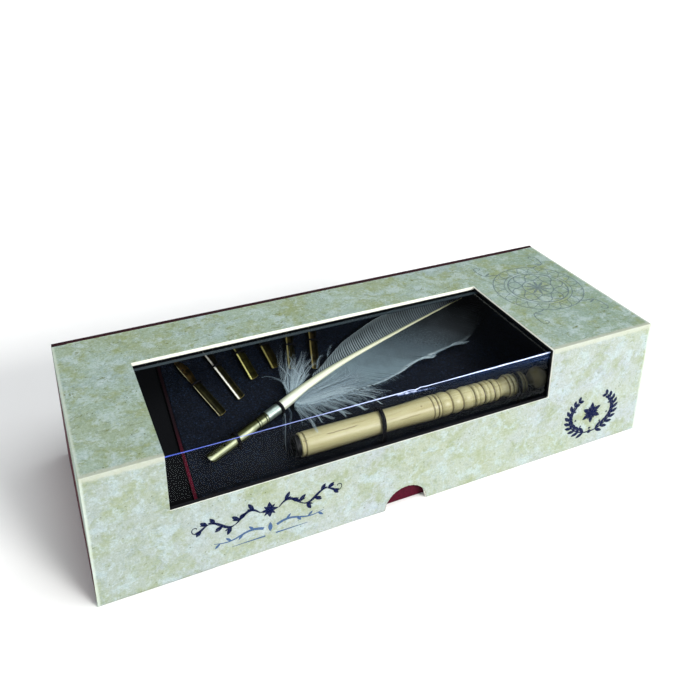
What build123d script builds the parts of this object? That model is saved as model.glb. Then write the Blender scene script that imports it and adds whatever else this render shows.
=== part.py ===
from build123d import *
import os
from math import sin, cos, tan, atan2, radians, degrees, sqrt, hypot

os.makedirs("parts", exist_ok=True)

# ---------------------------------------------------------------------------
# Calligraphy set box: a paper-covered board box cut on the slant.  The hinged
# lid is the whole top, the whole front and two side gussets, with one window
# over top and front.  The base is a wedge that carries a sloping display
# platform with a feather pen, six nibs and a turned wooden pen holder.
# Frame: X along the length (right positive), -Y is the front, Z up,
# origin at the middle of the footprint on the table.
# ---------------------------------------------------------------------------

# ---- driving dimensions (mm) ----
L = 280.0            # overall length
W = 103.0            # overall depth
H = 65.0             # overall height
T = 2.4              # covered board thickness
PAPER = 0.25         # hinge cloth and film thickness
FLOOR_GAP = 0.4      # lid's front panel stands this far off the table

CUT_FRONT = 16.1     # height of the slanting cut at the front face
CUT_REAR = 57.8      # height of the slanting cut at the rear face

WIN_X0 = 32.4 - L / 2        # window, left edge
WIN_X1 = 219.4 - L / 2       # window, right edge
WIN_REAR = W / 2 - 32.0      # window, rear edge on the top panel
WIN_BOTTOM = 37.6            # window, bottom edge on the front panel
NOTCH_X = 1.0                # finger notch centre
NOTCH_R = 11.0               # finger notch radius

FRONT_SET_BACK = 3.7         # base front wall behind the lid's front face
HINGE_Y = 48.75              # hinge line, in the groove at the rear edge
GROOVE = 0.6                 # groove between top panel and back wall

SURF = -1.0          # platform surface, along the platform's normal from the cut
COVER_T = 1.0        # leather-look cover thickness
PLAT_T = 2.0         # platform board thickness
S0, S1 = 7.5, 106.0  # platform's run along the slope
DIV_X = 46.0 - L / 2         # divider strip, left face
DIV_T = 1.4                  # divider strip thickness

TH = atan2(CUT_REAR - CUT_FRONT, W)
CT, ST = cos(TH), sin(TH)

# platform frame: local x = X measured from the box's left end, local y = up
# the slope from the front face, local z = off the slanting cut
PLAT = Plane(origin=(-L / 2, -W / 2, CUT_FRONT), x_dir=(1, 0, 0), z_dir=(0, -ST, CT))


def world(x, s, z):
    """Point of the platform frame in the box's frame."""
    return Vector(x - L / 2, -W / 2 + s * CT - z * ST, CUT_FRONT + s * ST + z * CT)


def direction(dx, ds):
    """Direction in the platform plane, in the box's frame."""
    n = hypot(dx, ds)
    return Vector(dx / n, ds / n * CT, ds / n * ST)


def cut_z(y, off=0.0):
    """Height of a plane parallel to the slanting cut, at depth y."""
    return CUT_FRONT + (y + W / 2) * tan(TH) + off / CT


def save(builder, name, place=None):
    """Label and write a piece; place moves one that was turned on the X axis."""
    solid = builder.part if place is None else builder.part.moved(place)
    solid.label = name
    export_step(solid, "parts/" + name + ".step")


# ---------------------------------------------------------------------------
# LID
# ---------------------------------------------------------------------------
top_rear = HINGE_Y - GROOVE / 2          # rear edge of the top panel

with BuildPart() as lid_top_panel:
    with BuildSketch(Plane.XY.offset(H - T)):
        with Locations(((0), (top_rear - W / 2) / 2)):
            Rectangle(L, top_rear + W / 2)
        with Locations(((WIN_X0 + WIN_X1) / 2, (WIN_REAR - W / 2 - 5) / 2)):
            Rectangle(WIN_X1 - WIN_X0, WIN_REAR + W / 2 + 5, mode=Mode.SUBTRACT)
    extrude(amount=T)
save(lid_top_panel, "lid_top_panel")

with BuildPart() as lid_front_panel:
    with BuildSketch(Plane.XZ.offset(W / 2 - T)):
        with BuildLine():
            Polyline((-L / 2, FLOOR_GAP), (L / 2, FLOOR_GAP), (L / 2, H - T), (WIN_X1, H - T),
                     (WIN_X1, WIN_BOTTOM), (WIN_X0, WIN_BOTTOM), (WIN_X0, H - T),
                     (-L / 2, H - T), close=True)
        make_face()
        with Locations((NOTCH_X, 0)):
            Circle(NOTCH_R, mode=Mode.SUBTRACT)
    extrude(amount=T)
save(lid_front_panel, "lid_front_panel")

gusset_rear = HINGE_Y - 0.55
gusset_front = -W / 2 + T


def gusset_profile():
    Polyline((gusset_front, H - T), (gusset_rear, H - T),
             (gusset_rear, cut_z(gusset_rear, 0.3)), (gusset_front, cut_z(gusset_front, 0.3)), close=True)


with BuildPart() as lid_left_gusset:
    with BuildSketch(Plane.YZ.offset(-L / 2)):
        with BuildLine():
            gusset_profile()
        make_face()
    extrude(amount=T)
save(lid_left_gusset, "lid_left_gusset")

with BuildPart() as lid_right_gusset:
    with BuildSketch(Plane.YZ.offset(L / 2 - T)):
        with BuildLine():
            gusset_profile()
        make_face()
    extrude(amount=T)
save(lid_right_gusset, "lid_right_gusset")

# clear film, one sheet bent over the front top edge, glued inside the boards
FILM = 0.3
FILM_M = 5.6         # glued margin round the window
film_top = H - T
film_front = -W / 2 + T
with BuildPart() as window_film:
    with BuildSketch(Plane.YZ.offset(WIN_X0 - FILM_M)):
        with BuildLine():
            film_r = 0.8
            q = sqrt(0.5)
            bend_y, bend_z = film_front + film_r, film_top - film_r
            Polyline((WIN_REAR + FILM_M, film_top), (bend_y, film_top))
            ThreePointArc((bend_y, film_top), (bend_y - film_r * q, bend_z + film_r * q), (film_front, bend_z))
            Polyline((film_front, bend_z), (film_front, WIN_BOTTOM - FILM_M),
                     (film_front + FILM, WIN_BOTTOM - FILM_M), (film_front + FILM, bend_z))
            inner = film_r - FILM
            ThreePointArc((film_front + FILM, bend_z), (bend_y - inner * q, bend_z + inner * q), (bend_y, film_top - FILM))
            Polyline((bend_y, film_top - FILM), (WIN_REAR + FILM_M, film_top - FILM), (WIN_REAR + FILM_M, film_top))
        make_face()
    extrude(amount=WIN_X1 - WIN_X0 + 2 * FILM_M)
save(window_film, "window_film")

# black lining card inside the lid, top piece and front piece
LINE_T = 0.4
LINE_M = 1.5
line_y0 = -W / 2 + T + FILM + LINE_T + 0.5
with BuildPart() as lid_top_lining:
    with BuildSketch(Plane.XY.offset(H - T - FILM - LINE_T)):
        with Locations((0, (37.5 + line_y0) / 2)):
            Rectangle(L - 2 * T - 1.0, 37.5 - line_y0)
        with Locations(((WIN_X0 + WIN_X1) / 2, (WIN_REAR + LINE_M + line_y0 - 5) / 2)):
            Rectangle(WIN_X1 - WIN_X0 + 2 * LINE_M, WIN_REAR + LINE_M - line_y0 + 5, mode=Mode.SUBTRACT)
    extrude(amount=LINE_T)
save(lid_top_lining, "lid_top_lining")

with BuildPart() as lid_front_lining:
    with BuildSketch(Plane.XZ.offset(W / 2 - T - FILM - LINE_T)):
        with BuildLine():
            zt = H - T - FILM - LINE_T - 0.1
            zb = 18.5
            Polyline((-L / 2 + T + 0.5, zb), (L / 2 - T - 0.5, zb), (L / 2 - T - 0.5, zt),
                     (WIN_X1 + LINE_M, zt), (WIN_X1 + LINE_M, WIN_BOTTOM - LINE_M),
                     (WIN_X0 - LINE_M, WIN_BOTTOM - LINE_M), (WIN_X0 - LINE_M, zt),
                     (-L / 2 + T + 0.5, zt), close=True)
        make_face()
    extrude(amount=LINE_T)
save(lid_front_lining, "lid_front_lining")

# hinge cloth: the lid's flap, glued under the rear edge of the top panel
with BuildPart() as hinge_flap:
    with BuildSketch(Plane.XY.offset(H - T - PAPER)):
        with Locations((0, (38.0 + top_rear) / 2)):
            Rectangle(L - 2 * T - 1.0, top_rear - 38.0)
    extrude(amount=PAPER)
save(hinge_flap, "hinge_flap")

# ---------------------------------------------------------------------------
# BASE
# ---------------------------------------------------------------------------
base_front = -W / 2 + FRONT_SET_BACK
back_in = HINGE_Y + GROOVE / 2 - 0.15
back_out = W / 2 - PAPER
back_top = H - 0.4

with BuildPart() as base_back_wall:
    with BuildSketch(Plane.XY):
        with Locations((0, (back_in + back_out) / 2)):
            Rectangle(L, back_out - back_in)
    extrude(amount=back_top)
save(base_back_wall, "base_back_wall")

with BuildPart() as hinge_cloth:
    with BuildSketch(Plane.YZ.offset(-L / 2)):
        with BuildLine():
            Polyline((back_in, back_top), (back_out, back_top), (back_out, 50.0), (W / 2, 50.0),
                     (W / 2, back_top + PAPER), (back_in, back_top + PAPER), close=True)
        make_face()
    extrude(amount=L)
save(hinge_cloth, "hinge_cloth")


def side_profile():
    Polyline((base_front, 0), (back_in, 0), (back_in, cut_z(back_in)), (base_front, cut_z(base_front)), close=True)


with BuildPart() as base_left_wall:
    with BuildSketch(Plane.YZ.offset(-L / 2)):
        with BuildLine():
            side_profile()
        make_face()
    extrude(amount=T)
save(base_left_wall, "base_left_wall")

with BuildPart() as base_right_wall:
    with BuildSketch(Plane.YZ.offset(L / 2 - T)):
        with BuildLine():
            side_profile()
        make_face()
    extrude(amount=T)
save(base_right_wall, "base_right_wall")

with BuildPart() as base_front_wall:
    with BuildSketch(Plane.XZ.offset(-base_front - T)):
        with Locations((0, cut_z(base_front) / 2)):
            Rectangle(L - 2 * T, cut_z(base_front))
    extrude(amount=T)
save(base_front_wall, "base_front_wall")

with BuildPart() as base_bottom_board:
    with BuildSketch(Plane.XY):
        with Locations((0, (base_front + T + back_in) / 2)):
            Rectangle(L - 2 * T, back_in - base_front - T)
    extrude(amount=T)
save(base_bottom_board, "base_bottom_board")

# sloping display platform: board, leather-look cover, side panel, divider
gap = 0.3
plat_x0 = DIV_X + DIV_T + L / 2
plat_x1 = L - T - gap
surf_b = SURF - COVER_T
board_b = surf_b - PLAT_T
with BuildPart() as platform_cover:
    with BuildSketch(PLAT.offset(surf_b)):
        with Locations(((plat_x0 + plat_x1) / 2, (S0 + S1) / 2)):
            Rectangle(plat_x1 - plat_x0, S1 - S0)
    extrude(amount=COVER_T)
save(platform_cover, "platform_cover")

with BuildPart() as platform_board:
    with BuildSketch(PLAT.offset(board_b)):
        with Locations(((plat_x0 + plat_x1) / 2, (S0 + S1) / 2)):
            Rectangle(plat_x1 - plat_x0, S1 - S0)
    extrude(amount=PLAT_T)
save(platform_board, "platform_board")

side_x0, side_x1 = T + gap, DIV_X + L / 2
with BuildPart() as side_panel:
    with BuildSketch(PLAT.offset(board_b)):
        with Locations(((side_x0 + side_x1) / 2, (S0 + S1) / 2)):
            Rectangle(side_x1 - side_x0, S1 - S0)
    extrude(amount=2.0)
save(side_panel, "side_panel")

rib_y0, rib_y1 = -43.2, 48.2


def rib_profile(off):
    Polyline((rib_y0, T), (rib_y1, T), (rib_y1, cut_z(rib_y1, off)), (rib_y0, cut_z(rib_y0, off)), close=True)


with BuildPart() as divider_strip:
    with BuildSketch(Plane.YZ.offset(DIV_X)):
        with BuildLine():
            rib_profile(SURF + 0.2)
        make_face()
    extrude(amount=DIV_T)
save(divider_strip, "divider_strip")

ribs = [("rib_left_end", -L / 2 + T + 0.05), ("rib_divider_left", DIV_X - T), ("rib_divider_right", DIV_X + DIV_T),
        ("rib_centre", 22.0), ("rib_right_end", L / 2 - 2 * T - 0.05)]
for rib_name, rib_x in ribs:
    with BuildPart() as rib:
        with BuildSketch(Plane.YZ.offset(rib_x)):
            with BuildLine():
                rib_profile(board_b - 0.02)
            make_face()
        extrude(amount=T)
    save(rib, rib_name)

# ---------------------------------------------------------------------------
# NIBS: sheet brass, half-round section, lying on their backs, hollow side up
# name, x, s of the butt end's middle, lean from straight up the slope,
# length, distance of the waist (where the loop holds it), arch radius
# ---------------------------------------------------------------------------
NIBS = [
    ("nib_1", 69.2, 57.1, 21.0, 43.0, 21.2, 2.30),
    ("nib_2", 80.2, 63.3, 16.7, 37.0, 21.8, 2.20),
    ("nib_3", 89.7, 72.4, 8.5, 29.5, 16.5, 2.55),
    ("nib_4", 102.2, 75.7, 6.0, 26.0, 14.2, 2.70),
    ("nib_5", 110.0, 72.8, -15.0, 28.5, 13.8, 2.35),
    ("nib_6", 121.7, 69.4, -15.5, 31.5, 17.0, 2.35),
]
NIB_T = 0.3
LOOP_W = 1.1
NRM = Vector(0, -ST, CT)


def nib_frame(x, s, lean):
    u = direction(-sin(radians(lean)), cos(radians(lean)))     # along the nib, butt to point
    v = direction(cos(radians(lean)), sin(radians(lean)))      # across the nib
    return u, v


for n_name, nx, ns, lean, n_len, waist, arch in NIBS:
    u, v = nib_frame(nx, ns, lean)
    org = world(nx, ns, SURF + 0.05)
    face = Plane(origin=org, x_dir=v, z_dir=NRM)               # x across, y along, z up
    sect = Plane(origin=org, x_dir=-v, z_dir=u)                # x across, y up, z along
    half = arch * sin(radians(76))
    drop = arch * cos(radians(76))
    with BuildPart() as nib:
        with BuildSketch(sect):
            with Locations((0, arch)):
                Circle(arch)
                Circle(arch - NIB_T, mode=Mode.SUBTRACT)
            with Locations((0, arch - drop + arch)):
                Rectangle(3 * arch, 2 * arch, mode=Mode.SUBTRACT)
        extrude(amount=n_len)
        body = n_len - waist
        with BuildSketch(face.offset(-0.5)):
            with BuildLine():
                side = [(half * 0.94, waist - 3.0), (half * 0.74, waist), (half * 0.98, waist + 0.34 * body),
                        (half * 0.66, waist + 0.68 * body), (0.22, n_len - 0.02)]
                l1 = Polyline((-half * 0.94, waist - 3.0), (-half * 0.94, 0), (half * 0.94, 0), (half * 0.94, waist - 3.0))
                l2 = Spline(*side, tangents=((0, 1), (-0.12, 1)))
                l3 = Polyline((0.22, n_len - 0.02), (-0.22, n_len - 0.02))
                l4 = Spline(*[(-px_, py_) for px_, py_ in reversed(side)], tangents=((-0.12, -1), (0, -1)))
            make_face()
        extrude(amount=4.0, mode=Mode.INTERSECT)
        # breather hole and slit
        with BuildSketch(face.offset(-0.5)):
            with Locations((0, waist + 0.50 * body)):
                Circle(0.55)
            with Locations((0, (waist + 0.50 * body + n_len) / 2 + 0.3)):
                Rectangle(0.12, n_len - waist - 0.50 * body + 0.6)
        extrude(amount=4.0, mode=Mode.SUBTRACT)
    save(nib, n_name)

# elastic loops that hold the nibs at their waists, one group
with BuildPart() as nib_loops:
    for n_name, nx, ns, lean, n_len, waist, arch in NIBS:
        u, v = nib_frame(nx, ns, lean)
        org = world(nx, ns, SURF) + u * (waist - LOOP_W / 2)
        sect = Plane(origin=org, x_dir=-v, z_dir=u)
        rx, ry = arch + 0.35, arch * 0.76 + 0.45
        with BuildSketch(sect):
            RectangleRounded(2 * rx + 1.0, 2 * ry + 0.9, 1.0)
            RectangleRounded(2 * rx, 2 * ry, 0.55, mode=Mode.SUBTRACT)
            with Locations((0, -5)):
                Rectangle(30, 10, mode=Mode.SUBTRACT)
        extrude(amount=LOOP_W)
save(nib_loops, "nib_loops")

# ---------------------------------------------------------------------------
# FEATHER PEN: brass nib, collar, silver ferrule, quill shaft, two vanes
# ---------------------------------------------------------------------------
PEN0 = (56.0, 35.2)          # nib point
PEN_DEG = 22.4               # pen axis in the platform plane
PEN_Z = 1.75                 # axis height off the cut plane
pu = direction(cos(radians(PEN_DEG)), sin(radians(PEN_DEG)))
pv = direction(-sin(radians(PEN_DEG)), cos(radians(PEN_DEG)))


def pen_at(d):
    return (PEN0[0] + d * cos(radians(PEN_DEG)), PEN0[1] + d * sin(radians(PEN_DEG)))


COLLAR0, COLLAR1 = 29.0, 34.6
FERR0, FERR1 = 34.62, 43.6
# brass nib in the pen: half-round strip, hollow side down, rounded point
PEN_NIB_R = 2.25
with BuildPart() as pen_nib:
    d0 = world(PEN0[0], PEN0[1], PEN_Z - 0.15)
    with BuildSketch(Plane(origin=d0, x_dir=pv, z_dir=pu)):
        Circle(PEN_NIB_R)
        Circle(PEN_NIB_R - 0.35, mode=Mode.SUBTRACT)
        with Locations((0, -PEN_NIB_R - 0.35)):
            Rectangle(3 * PEN_NIB_R, 2 * PEN_NIB_R, mode=Mode.SUBTRACT)
    extrude(amount=COLLAR0 + 3.0)
    with BuildSketch(Plane(origin=d0 + NRM * -0.5, x_dir=pu, z_dir=NRM)):
        with BuildLine():
            h = PEN_NIB_R + 0.1
            Polyline((5.2, h), (COLLAR0 + 4.0, h), (COLLAR0 + 4.0, -h), (5.2, -h))
            Spline((5.2, -h), (1.6, -h * 0.72), (0.05, 0), (1.6, h * 0.72), (5.2, h),
                   tangents=((-1, 0), (1, 0)))
        make_face()
    extrude(amount=4.0, mode=Mode.INTERSECT)
    with BuildSketch(Plane(origin=d0 + NRM * 0.5, x_dir=pu, z_dir=NRM)):
        with Locations((9.5, 0)):
            Circle(0.6)
        with Locations((4.5, 0)):
            Rectangle(9.5, 0.12)
    extrude(amount=4.0, mode=Mode.SUBTRACT)
save(pen_nib, "pen_nib")

with BuildPart() as nib_collar:
    c0 = world(*pen_at(COLLAR0), PEN_Z)
    with BuildSketch(Plane(origin=c0, x_dir=pu, z_dir=NRM)):
        with BuildLine():
            cl = COLLAR1 - COLLAR0
            Polyline((0, 0), (0, 2.42), (0.25, 2.62), (0.9, 2.62), (1.1, 2.45), (1.3, 2.45), (1.5, 2.6),
                     (cl - 1.6, 2.68), (cl - 1.35, 2.5), (cl - 1.1, 2.5), (cl - 0.9, 2.74), (cl, 2.74),
                     (cl, 0), close=True)
        make_face()
    revolve(axis=Axis(c0, pu))
    # seat for the nib's butt end
    with BuildSketch(Plane(origin=c0, x_dir=pv, z_dir=pu)):
        Circle(PEN_NIB_R + 0.12)
    extrude(amount=3.3, mode=Mode.SUBTRACT)
save(nib_collar, "nib_collar")

with BuildPart() as quill_ferrule:
    f0 = world(*pen_at(FERR0), PEN_Z)
    with BuildSketch(Plane(origin=f0, x_dir=pu, z_dir=NRM)):
        with BuildLine():
            fl = FERR1 - FERR0
            Polyline((0, 0), (0, 2.55), (0.2, 2.72), (fl - 0.2, 2.74), (fl, 2.6), (fl, 0), close=True)
        make_face()
    revolve(axis=Axis(f0, pu))
    with BuildSketch(Plane(origin=world(*pen_at(FERR0 + 2.0), PEN_Z), x_dir=pv, z_dir=pu)):
        Circle(2.32)
    extrude(amount=20, mode=Mode.SUBTRACT)
save(quill_ferrule, "quill_ferrule")

# quill shaft: the feather's hollow shaft, sitting in the ferrule and tapering
# to the feather's tip.  (x, s, z, radius)
SHAFT = [
    (*pen_at(FERR0 + 2.1), PEN_Z, 2.28),
    (*pen_at(FERR1 + 0.2), PEN_Z, 2.28),
    (*pen_at(FERR1 + 1.6), PEN_Z + 0.05, 2.58),
    (104.0, 55.25, 1.85, 2.50),
    (110.0, 57.9, 1.92, 2.32),
    (120.0, 61.9, 2.05, 2.00),
    (130.0, 65.5, 2.17, 1.66),
    (140.0, 68.7, 2.28, 1.35),
    (152.0, 72.1, 2.40, 1.12),
    (166.0, 75.9, 2.52, 0.92),
    (180.0, 79.7, 2.62, 0.72),
    (194.0, 83.3, 2.70, 0.55),
    (207.0, 86.6, 2.76, 0.42),
    (219.0, 89.4, 2.80, 0.26),
]
shaft_pts = [world(x, s, z) for x, s, z, r in SHAFT]
with BuildPart() as quill_shaft:
    for i, (x, s, z, r) in enumerate(SHAFT):
        if i < 3:
            tang = pu
        elif i < len(SHAFT) - 1:
            tang = (shaft_pts[i + 1] - shaft_pts[i - 1]).normalized()
        else:
            tang = (shaft_pts[i] - shaft_pts[i - 1]).normalized()
        with BuildSketch(Plane(origin=shaft_pts[i], x_dir=NRM.cross(tang), z_dir=tang)):
            Circle(r)
    loft(ruled=True)
save(quill_shaft, "quill_shaft")


def shaft_side(x, side, extra=0.25):
    """Edge of the shaft in the platform plane at x, on one side."""
    for i in range(len(SHAFT) - 1):
        a, b = SHAFT[i], SHAFT[i + 1]
        if a[0] <= x <= b[0]:
            t = (x - a[0]) / (b[0] - a[0])
            dx, ds = b[0] - a[0], b[1] - a[1]
            n = hypot(dx, ds)
            r = a[3] + (b[3] - a[3]) * t + extra
            return (x - side * ds / n * r, a[1] + ds * t + side * dx / n * r)
    return None


VANE_Z = 2.3
VANE_T = 0.6
upper_in = [shaft_side(x, 1) for x in (119.0, 130.0, 142.0, 156.0, 170.0, 185.0, 200.0, 212.0, 218.9)]
upper_out = [(123.0, 67.6), (130.0, 72.6), (140.0, 79.5), (150.0, 84.0), (160.0, 88.0), (170.0, 91.2),
             (182.0, 94.2), (195.0, 96.4), (208.0, 96.8), (219.0, 94.6), (226.5, 91.2)]
lower_in = [shaft_side(x, -1) for x in (104.0, 112.0, 122.0, 134.0, 148.0, 164.0, 180.0, 196.0, 210.0, 218.9)]
lower_out = [(108.0, 50.6), (118.0, 50.0), (128.0, 50.2), (140.0, 50.3), (152.0, 51.2), (164.0, 54.0), (172.0, 57.2),
             (183.0, 58.6), (192.0, 60.4), (203.0, 62.0), (212.0, 65.0), (220.0, 71.0), (226.0, 79.0), (228.5, 86.0)]

with BuildPart() as feather_upper_vane:
    with BuildSketch(PLAT.offset(VANE_Z)):
        with BuildLine():
            Polyline(*upper_in, *reversed(upper_out), close=True)
        make_face()
    extrude(amount=VANE_T)
save(feather_upper_vane, "feather_upper_vane")

with BuildPart() as feather_lower_vane:
    with BuildSketch(PLAT.offset(VANE_Z)):
        with BuildLine():
            Polyline(*lower_in, *reversed(lower_out), close=True)
        make_face()
    extrude(amount=VANE_T)
save(feather_lower_vane, "feather_lower_vane")

# ---------------------------------------------------------------------------
# WOODEN PEN HOLDER, turned, with a black nib socket in its open end
# ---------------------------------------------------------------------------
HOLD_X, HOLD_S, HOLD_Z = 96.8, 28.0, 5.15     # left end of the wood, axis position
SOCK_R = 3.1                                  # bore of the socket
hold_o = world(HOLD_X, HOLD_S, HOLD_Z)
hold_place = Plane(origin=hold_o, x_dir=(1, 0, 0), z_dir=(0, -ST, CT)).location
# turned profile: (x, r) points; an entry with three numbers is an arc's
# end point with its bulge height
PROFILE = [
    (0.0, 5.15), (0.35, 5.5), (1.45, 5.6), (1.75, 5.25), (2.15, 5.25), (2.5, 5.68), (12.0, 5.72), (28.0, 5.55),
    (40.0, 5.38), (52.0, 5.42), (62.0, 5.72), (68.4, 5.98), (68.7, 5.72), (69.1, 5.72), (69.4, 6.0), (70.9, 6.0),
    (71.2, 5.62), (71.7, 5.62), (72.0, 5.98), (73.0, 5.9), (73.3, 5.3), (79.6, 5.15, 0.78), (85.8, 5.1, 0.80),
    (91.2, 5.45, 0.55), (92.2, 5.75), (92.5, 4.85), (92.95, 4.85), (95.3, 5.2, 0.62), (98.4, 4.9, 0.68),
    (98.9, 4.9), (101.4, 5.2, 0.62), (104.2, 4.9, 0.68), (104.7, 4.9), (107.4, 5.15, 0.6), (107.8, 5.3),
    (113.2, 5.35, -0.95), (113.5, 5.7), (115.6, 5.6, 0.3), (115.9, 5.45), (118.1, 5.5, 0.35), (118.4, 5.1),
    (120.5, 5.1), (120.8, 5.5), (122.6, 5.45, 0.35), (122.9, 5.3), (125.0, 4.1, 0.75), (126.2, 2.9), (128.3, 2.7, -0.25),
    (129.425, 3.4),
]
BALL_X, BALL_R = 134.0, 5.7      # ball finial at the end
with BuildPart() as holder_handle:
    with BuildSketch(Plane.XY):
        with BuildLine():
            prev = (0.0, 0.0)
            for e in PROFILE:
                pt = (e[0], e[1])
                if len(e) == 3:
                    mid = ((prev[0] + pt[0]) / 2, (prev[1] + pt[1]) / 2 + e[2])
                    ThreePointArc(prev, mid, pt)
                else:
                    Line(prev, pt)
                prev = pt
            ball_end = sqrt(BALL_R ** 2 - 0.9 ** 2)
            ThreePointArc(prev, (BALL_X, BALL_R), (BALL_X + ball_end, 0.9))
            Polyline((BALL_X + ball_end, 0.9), (BALL_X + ball_end, 0.0), (0.0, 0.0))
        make_face()
    revolve(axis=Axis.X)
    with BuildSketch(Plane.YZ):
        Circle(SOCK_R + 0.82)
    extrude(amount=22.0, mode=Mode.SUBTRACT)
save(holder_handle, "holder_handle", hold_place)

with BuildPart() as nib_socket:
    with BuildSketch(Plane.XY):
        with BuildLine():
            Polyline((-2.6, SOCK_R + 0.25), (-2.6, 4.55), (-2.2, 4.9), (-0.03, 4.95), (-0.03, SOCK_R + 0.8),
                     (21.5, SOCK_R + 0.8), (21.5, SOCK_R), (-2.35, SOCK_R), close=True)
        make_face()
    revolve(axis=Axis.X)
save(nib_socket, "nib_socket", hold_place)

# ---------------------------------------------------------------------------
# ELASTIC TIES over the pen and the holder, one group, feet on the platform
# ---------------------------------------------------------------------------
TIE_W = 1.4
TIE_T = 0.55
TIE_PEN = (16.5, 42.9)           # along the pen, from the nib's point
TIE_HOLD = (138.6, 216.3)        # across the holder, x from the left end
# (axis point, axis direction, direction across, inner radius, axis height)
TIES = [(world(*pen_at(d), PEN_Z), pu, pv, 3.1, PEN_Z - SURF) for d in TIE_PEN]
TIES += [(world(x, HOLD_S, HOLD_Z), Vector(1, 0, 0), direction(0, 1), 6.45, HOLD_Z - SURF) for x in TIE_HOLD]
with BuildPart() as pen_ties:
    for origin, axis_dir, lateral, inner_r, height in TIES:
        with BuildSketch(Plane(origin=origin - axis_dir * (TIE_W / 2), x_dir=lateral, z_dir=axis_dir)):
            Circle(inner_r + TIE_T)
            with Locations((0, -height / 2)):
                Rectangle(2 * (inner_r + TIE_T), height)
            Circle(inner_r, mode=Mode.SUBTRACT)
            with Locations((0, -height / 2)):
                Rectangle(2 * inner_r, height, mode=Mode.SUBTRACT)
            with Locations((0, -height - 5)):
                Rectangle(40, 10, mode=Mode.SUBTRACT)
        extrude(amount=TIE_W)
save(pen_ties, "pen_ties")

print("slope", round(degrees(TH), 2), "slope length", round(W / CT, 1))
print("pen axis", [round(c, 5) for c in (pu.X, pu.Y, pu.Z)])
for n_name, nx, ns, lean, n_len, waist, arch in NIBS:
    u, v = nib_frame(nx, ns, lean)
    print(n_name, "axis", [round(c, 5) for c in (-u.X, -u.Y, -u.Z)])
print("holder axis point", hold_o)
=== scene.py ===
import math, random
import bpy, bmesh
import numpy as np
from mathutils import Vector, Matrix, noise

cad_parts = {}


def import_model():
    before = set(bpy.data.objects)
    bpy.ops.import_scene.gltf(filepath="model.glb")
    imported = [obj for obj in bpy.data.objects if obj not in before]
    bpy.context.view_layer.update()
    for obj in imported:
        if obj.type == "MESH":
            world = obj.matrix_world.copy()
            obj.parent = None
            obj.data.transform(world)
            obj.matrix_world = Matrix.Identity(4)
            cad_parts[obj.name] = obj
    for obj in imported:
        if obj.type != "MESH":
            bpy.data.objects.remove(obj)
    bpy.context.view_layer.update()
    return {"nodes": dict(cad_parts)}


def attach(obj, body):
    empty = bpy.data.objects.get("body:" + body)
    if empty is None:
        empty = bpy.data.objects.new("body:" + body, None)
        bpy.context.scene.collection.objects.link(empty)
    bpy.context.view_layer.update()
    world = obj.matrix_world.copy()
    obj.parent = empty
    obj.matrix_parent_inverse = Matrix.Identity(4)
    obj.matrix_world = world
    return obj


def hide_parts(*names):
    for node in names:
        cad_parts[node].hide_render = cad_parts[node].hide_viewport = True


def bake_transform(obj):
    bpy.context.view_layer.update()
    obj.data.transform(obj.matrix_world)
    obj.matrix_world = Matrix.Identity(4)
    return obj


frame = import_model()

NODES = frame["nodes"]
MM = 0.001

# ---------------------------------------------------------------------------
# The box's driving sizes, millimetres, in the shared frame
# ---------------------------------------------------------------------------
L, W, H, T = 280.0, 103.0, 65.0, 2.4
FLOOR_GAP = 0.4
CUT_FRONT, CUT_REAR = 16.1, 57.8
WX0, WX1, WREAR, WBOT = -107.6, 79.4, 19.5, 37.6
NOTCH_X, NOTCH_R = 1.0, 11.0
HINGE_Y = 48.75
TOP_REAR = 48.45
BACK_IN = 48.9
BASE_FRONT = -W / 2 + 3.7
SURF = -1.0
TH = math.atan2(CUT_REAR - CUT_FRONT, W)
CT, ST = math.cos(TH), math.sin(TH)
NRM = Vector((0, -ST, CT))


def world(x, s, z):
    """Platform frame (x from the left end, s up the slope, z off the cut), to the shared frame, mm."""
    return Vector((x - L / 2, -W / 2 + s * CT - z * ST, CUT_FRONT + s * ST + z * CT))


def cut_z(y, off=0.0):
    return CUT_FRONT + (y + W / 2) * math.tan(TH) + off / CT


# ---------------------------------------------------------------------------
# Node-material helpers
# ---------------------------------------------------------------------------
def lin(r, g, b):
    """sRGB 0-255 to linear."""
    out = []
    for c in (r, g, b):
        c /= 255.0
        out.append(c / 12.92 if c <= 0.04045 else ((c + 0.055) / 1.055) ** 2.4)
    return (*out, 1.0)


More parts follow.
